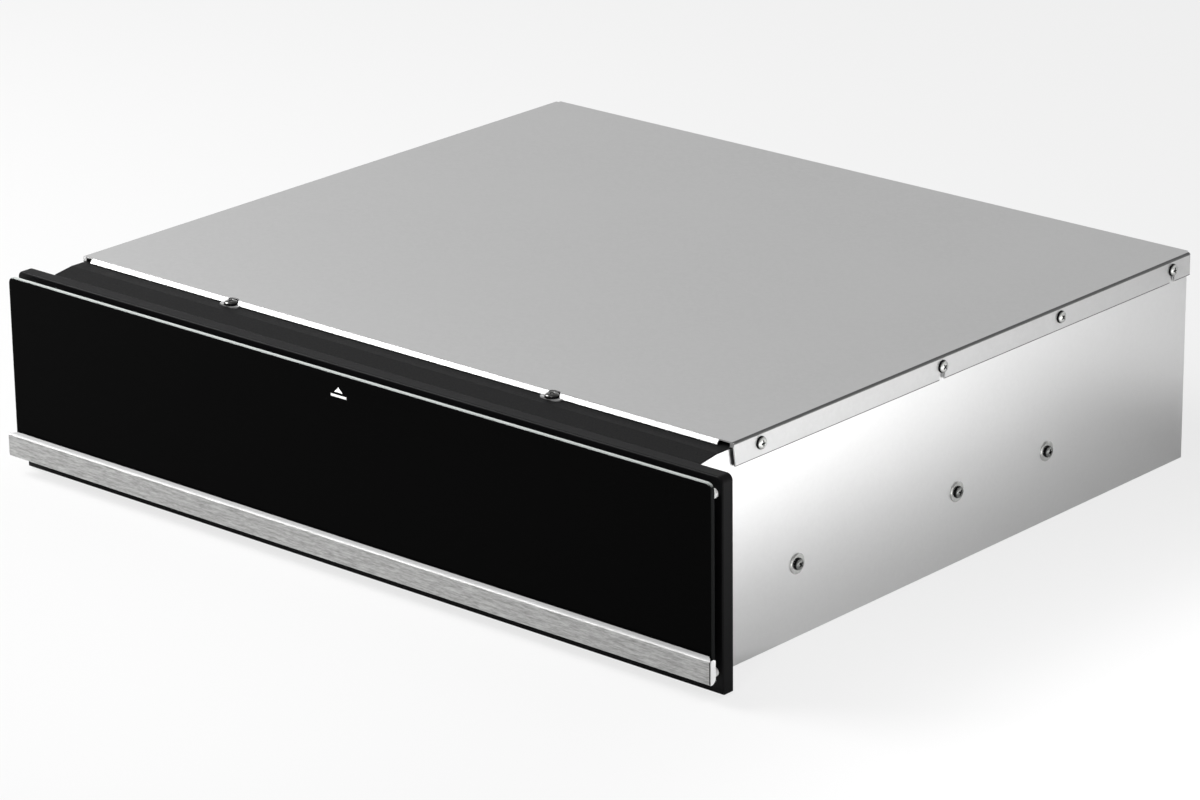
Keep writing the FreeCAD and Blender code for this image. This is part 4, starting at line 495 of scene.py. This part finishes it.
def makeScrews(name, way, turns):
    # one screw shape set on every seat; each is turned about its axis as it came off the driver
    # a point of it = x times the turned first way + y times the turned second way + z times the axis + seat
    seats = screwSeats(name, way)
    points, faces, paintedShade = screwShape(seats[0][2], seats[0][3])
    axes = np.array([seat[1] for seat in seats])
    first = np.where(np.abs(axes[:, 2:]) > 0.5, [1.0, 0, 0], [0, 0, 1.0])
    second = np.cross(axes, first)
    turn = turns.uniform(0, math.pi / 2, (len(seats), 1))
    turned = np.stack([np.cos(turn) * first + np.sin(turn) * second,
                       np.cos(turn) * second - np.sin(turn) * first, axes], axis=1)
    placed = np.einsum("nk,mki->mni", points, turned) + np.array([seat[0] for seat in seats])[:, None]
    steps = np.arange(len(seats))[:, None, None] * len(points)
    finish = screwFinishes.get(name, finishes["plated_screw"])
    piece = addPiece(name + "_detailed", placed.reshape(-1, 3), (faces[None] + steps).reshape(-1, 4), finish,
                     body_of(nodes[name])[0], paintedShade=np.tile(paintedShade, len(seats)))
    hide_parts(name)


screwTurns = np.random.default_rng(screw["seed"])
for setName, way in screwSets.items():
    makeScrews(setName, way, screwTurns)
print("screws:", len(screwSets), "sets")


prints = {"thickMm": 0.06, "overMm": 0.02}  # ink, and the air under it that keeps it off the surface
# thick flat ink with a crisp edge, whiter than the plastic it lies on
printWhite = mouldedPlastic("screen-printed white enamel", {
    "pale": "#f7f7f6", "dark": "#f0f0ef", "grainMm": 0.4, "depthMm": 0.002, "roughness": (0.4, 0.5)})


def slab(outline, thick):
    # a flat outline in a plane and its copy thick above it, with walls between; rows are x, y, z
    count = len(outline)
    flat = np.column_stack([outline, np.zeros(count)])
    points = np.concatenate([flat, flat + [0, 0, thick]])
    sides = gridFaces(2, count, True).tolist()
    return points, [list(range(count)), list(range(count, 2 * count))] + sides


def gather(shapes):
    # several shapes as one list of points and faces
    points, faces, base = [], [], 0
    for shape, sides in shapes:
        points.append(shape)
        faces += [[index + base for index in side] for side in sides]
        base += len(shape)
    return np.concatenate(points), faces


def strip(start, end, width):
    # the outline of a straight stroke from start to end
    start, end = np.array(start, float), np.array(end, float)
    along = (end - start) / np.linalg.norm(end - start)
    across = np.array([-along[1], along[0]]) * width / 2
    return np.array([start + across, start - across, end - across, end + across])


def ringShape(radius, width, thick, count):
    # a flat ring: four circles joined in a closed loop
    turn = np.linspace(0, 2 * math.pi, count, endpoint=False)
    reach = np.array([radius - width / 2, radius + width / 2, radius + width / 2, radius - width / 2])
    height = np.array([0, 0, thick, thick])
    points = np.stack([reach[:, None] * np.cos(turn), reach[:, None] * np.sin(turn),
                       np.repeat(height[:, None], count, 1)], axis=-1).reshape(-1, 3)
    faces = gridFaces(4, count, True).tolist()
    close = np.arange(count)
    after = (close + 1) % count
    return points, faces + np.stack([3 * count + close, close, after, 3 * count + after], axis=-1).tolist()


def numberShape(word, middle, size):
    # a printed figure: the outline font made a mesh, then centred on its middle
    curve = bpy.data.curves.new("figure", "FONT")
    curve.body = word
    curve.size = size
    curve.extrude = prints["thickMm"] / 2
    holder = bpy.data.objects.new("figure", curve)
    mesh = bpy.data.meshes.new_from_object(holder)
    points = np.empty(3 * len(mesh.vertices))
    mesh.vertices.foreach_get("co", points)
    points = points.reshape(-1, 3)
    faces = [list(face.vertices) for face in mesh.polygons]
    bpy.data.objects.remove(holder)
    bpy.data.curves.remove(curve)
    bpy.data.meshes.remove(mesh)
    centre = (points.min(axis=0) + points.max(axis=0)) / 2
    return points - centre + [middle[0], middle[1], prints["thickMm"] / 2], faces


def addPrint(name, shapes, node, place):
    # shapes lie in their own plane; place takes their points to where they are printed on the node
    points, faces = gather(shapes)
    return addPiece(name, place(points), faces, printWhite, body_of(nodes[node])[0])


pushMark = {"triangle": (-3.6, 3.6, 122.4, 125.8), "bar": (-6.6, 6.6, 119.2, 120.8)}  # left, right, low, high


def markShapes():
    # a triangle that points up, and a plain bar under it
    left, right, low, high = pushMark["triangle"]
    triangle = np.array([(left, low), (right, low), ((left + right) / 2, high)])
    left, right, low, high = pushMark["bar"]
    bar = np.array([(left, low), (right, low), (right, high), (left, high)])
    return [slab(triangle, prints["thickMm"]), slab(bar, prints["thickMm"])]


def onGlass(points):
    # the plane stood up on the glass: x stays, y is height, and the print faces forwards
    front = meshPoints("door_glass")[:, 1].min()
    return np.column_stack([points[:, 0], front - prints["overMm"] - points[:, 2], points[:, 1]])


rockerMarks = {"middle": (130, -227.9, 110.6), "valleyMm": 2.4, "slope": 0.156, "tilt": 8, "markAt": 4.4,
               "ringMm": 1.4, "strokeMm": 0.45, "ringSides": 32}


def onRocker(points):
    # the rocker's top is a shallow V, tipped about its pin: height = valley + slope |x|, then the turn
    top = rockerMarks["valleyMm"] + rockerMarks["slope"] * np.abs(points[:, 0])
    height = top + prints["overMm"] + points[:, 2]
    turn = math.radians(rockerMarks["tilt"])
    tipped = [points[:, 0] * math.cos(turn) + height * math.sin(turn), points[:, 1],
              height * math.cos(turn) - points[:, 0] * math.sin(turn)]
    return np.column_stack(tipped) + rockerMarks["middle"]


def rockerShapes():
    # a stroke at the on end and a ring at the off end
    radius, width, markAt = (rockerMarks[key] for key in ("ringMm", "strokeMm", "markAt"))
    ring, faces = ringShape(radius, width, prints["thickMm"], rockerMarks["ringSides"])
    stroke = strip((-markAt, -radius), (-markAt, radius), width)
    return [slab(stroke, prints["thickMm"]), (ring + [markAt, 0, 0], faces)]


# start and turn in degrees; the ticks, figures and pointer are placed by their distance from the middle
dial = {"steps": 9, "turn": 270, "start": 225, "tickMm": (14.6, 17.2), "tickWide": 0.5, "numberEvery": 3,
        "numberRadius": 19.6, "numberMm": 3.4, "pointerMm": (5.6, 10.0), "pointerWide": 1.2}


def dialRay(step, reach):
    # the ends of a radial stroke at one step of the dial, which runs clockwise
    turn = math.radians(dial["start"] - dial["turn"] * step / dial["steps"])
    return np.outer(reach, [math.cos(turn), math.sin(turn)])


def dialShapes():
    # a tick for each step and a figure for every third
    shapes = []
    for step in range(dial["steps"] + 1):
        shapes.append(slab(strip(*dialRay(step, dial["tickMm"]), dial["tickWide"]), prints["thickMm"]))
        if step % dial["numberEvery"] == 0:
            middle = dialRay(step, [dial["numberRadius"]])[0]
            shapes.append(numberShape(str(step), middle, dial["numberMm"]))
    return shapes


knobLow, knobHigh = (edge(meshPoints("heat_knob"), axis=0) for edge in (np.min, np.max))
knobMiddle = (knobLow + knobHigh) / 2
fasciaTop = meshPoints("control_fascia")[:, 2].max()
pointer = slab(strip(*dialRay(0, dial["pointerMm"]), dial["pointerWide"]), prints["thickMm"])
addPrint("dial_figures", dialShapes(), "control_fascia",
         lambda points: points + [knobMiddle[0], knobMiddle[1], fasciaTop + prints["overMm"]])
addPrint("knob_pointer", [pointer], "heat_knob",
         lambda points: points + [knobMiddle[0], knobMiddle[1], knobHigh[2] + prints["overMm"]])
addPrint("push_mark", markShapes(), "door_glass", onGlass)
addPrint("rocker_marks", rockerShapes(), "switch_rocker", onRocker)
print("prints: push mark, dial, pointer and rocker marks")


# levels are shares of white; ceilingRise is how high a mirrored direction points where the backdrop fades
studio = {"floorSize": 40.0, "floorDrop": 0.0004, "floor": "#f4f4f4", "world": "#ffffff", "worldLevel": 0.3,
          "backdropLevel": 1.0, "floorGlow": 0.85, "mirroredGlow": 0.1, "ceilingLevel": 0.35,
          "ceilingRise": (0.42, 0.62)}
lamps = {"key": {"place": (-1.25, -0.75, 1.30), "aim": (0, 0, 0.1), "wide": 1.0, "watts": 52},
         "side": {"place": (1.24, -0.06, 2.2), "aim": (1.24, -0.06, 0), "wide": 0.2, "beam": 50,
                  "watts": 800},
         "fill": {"place": (0.55, -1.1, 1.5), "aim": (0.12, -0.42, 0), "wide": 0.3, "beam": 26,
                  "watts": 40}}


def seenDirectly(tree, inView, mirrored):
    # inView for camera rays, mirrored for glossy and transmission rays, 0 for the rays that light things
    path = addNode(tree, "ShaderNodeLightPath")
    bounced = addNode(tree, "ShaderNodeMath", {"operation": "MAXIMUM"},
                      {0: path.outputs["Is Glossy Ray"], 1: path.outputs["Is Transmission Ray"]}).outputs[0]
    bounced = addNode(tree, "ShaderNodeMath", {"operation": "MULTIPLY", 1: mirrored}, {0: bounced}).outputs[0]
    seen = addNode(tree, "ShaderNodeMath", {"operation": "MULTIPLY", 1: inView},
                   {0: path.outputs["Is Camera Ray"]}).outputs[0]
    return addNode(tree, "ShaderNodeMath", {"operation": "MAXIMUM"}, {0: seen, 1: bounced}).outputs[0]


def makeFloor():
    # one flat sheet of paper just under the feet, wide enough to fill every view; it glows for the camera
    half = studio["floorSize"] / 2
    mesh = bpy.data.meshes.new("floor")
    corners = [(-half, -half, 0), (half, -half, 0), (half, half, 0), (-half, half, 0)]
    mesh.from_pydata(corners, [], [(0, 1, 2, 3)])
    floor = bpy.data.objects.new("floor", mesh)
    bpy.context.scene.collection.objects.link(floor)
    floor.location.z = -studio["floorDrop"]
    material = bpy.data.materials.new("studio floor paper")
    material.use_nodes = True
    tree = material.node_tree
    tree.nodes.clear()
    share = seenDirectly(tree, studio["floorGlow"], studio["mirroredGlow"])
    paper = addNode(tree, "ShaderNodeBsdfDiffuse", {"Color": linear(studio["floor"])})
    glow = addNode(tree, "ShaderNodeEmission", {"Color": linear(studio["floor"]), "Strength": 1.0})
    mix = addNode(tree, "ShaderNodeMixShader", links={0: share, 1: paper.outputs[0], 2: glow.outputs[0]})
    addNode(tree, "ShaderNodeOutputMaterial", links={"Surface": mix.outputs[0]})
    mesh.materials.append(material)


def makeWorld():
    # a white backdrop for the camera and for mirrors, which see it darken overhead
    # what lights the object is lower, so pale sheet keeps its tone
    world = bpy.data.worlds.new("studio")
    bpy.context.scene.world = world
    world.use_nodes = True
    tree = world.node_tree
    tree.nodes.clear()
    seen = seenDirectly(tree, 1.0, 1.0)
    direction = addNode(tree, "ShaderNodeTexCoord").outputs["Generated"]
    high = addNode(tree, "ShaderNodeSeparateXYZ", links={"Vector": direction}).outputs["Z"]
    ceiling = {"From Min": studio["ceilingRise"][0], "From Max": studio["ceilingRise"][1],
               "To Min": studio["backdropLevel"], "To Max": studio["ceilingLevel"]}
    mirrored = addNode(tree, "ShaderNodeMapRange", ceiling, {"Value": high}).outputs["Result"]
    level = addNode(tree, "ShaderNodeMapRange", {"To Min": studio["worldLevel"]},
                    {"Value": seen, "To Max": mirrored}).outputs["Result"]
    shade = addNode(tree, "ShaderNodeBackground", {"Color": linear(studio["world"])}, {"Strength": level})
    addNode(tree, "ShaderNodeOutputWorld", links={"Surface": shade.outputs[0]})


def makeLamp(name, lamp):
    # a soft square panel, or a spot whose beam fades from its middle to its edge, turned to its aim
    data = bpy.data.lights.new(name, "SPOT" if "beam" in lamp else "AREA")
    if "beam" in lamp:
        data.spot_size = math.radians(lamp["beam"])
        data.spot_blend = 1.0
        data.shadow_soft_size = lamp["wide"] / 2
    else:
        data.size = lamp["wide"]
    data.energy = lamp["watts"]
    light = bpy.data.objects.new(name, data)
    bpy.context.scene.collection.objects.link(light)
    toAim = Vector(lamp["aim"]) - Vector(lamp["place"])
    light.rotation_mode = "QUATERNION"
    light.rotation_quaternion = toAim.to_track_quat("-Z", "Y")
    light.location = lamp["place"]
    light.visible_camera = False


makeFloor()
makeWorld()
for lampName, lamp in lamps.items():
    makeLamp(lampName, lamp)
print("studio: floor, world and", len(lamps), "lamps")


view = {"azimuth": 41.54, "elevation": 19.79, "roll": -0.67, "focalPixels": 4885.0, "imageWidth": 1200,
        "distance": 3.048, "across": 0.1275, "upward": 0.0987, "pivotY": -0.2084, "sensorWidth": 36.0,
        "farClip": 100}


def makeCamera():
    # turned about the pivot, stepped back from it, and slid across and up to frame the drawer
    # focal length in mm = focal length in pixels / image width * sensor width
    turn, rise, roll = (math.radians(view[key]) for key in ("azimuth", "elevation", "roll"))
    back = np.array([math.sin(turn) * math.cos(rise), -math.cos(turn) * math.cos(rise), math.sin(rise)])
    side = np.array([math.cos(turn), math.sin(turn), 0.0])
    top = np.cross(back, side)
    right = math.cos(roll) * side + math.sin(roll) * top
    up = math.cos(roll) * top - math.sin(roll) * side
    place = right * view["across"] + up * view["upward"] + back * view["distance"] + [0, view["pivotY"], 0]
    data = bpy.data.cameras.new("camera")
    data.sensor_width = view["sensorWidth"]
    data.lens = view["focalPixels"] / view["imageWidth"] * view["sensorWidth"]
    data.clip_end = view["farClip"]
    camera = bpy.data.objects.new("camera", data)
    bpy.context.scene.collection.objects.link(camera)
    matrix = np.eye(4)
    matrix[:3] = np.column_stack([right, up, back, place])
    camera.matrix_world = Matrix(matrix.tolist())
    bpy.context.scene.camera = camera


makeCamera()
bpy.context.scene.view_settings.view_transform = "Standard"
print("camera set")
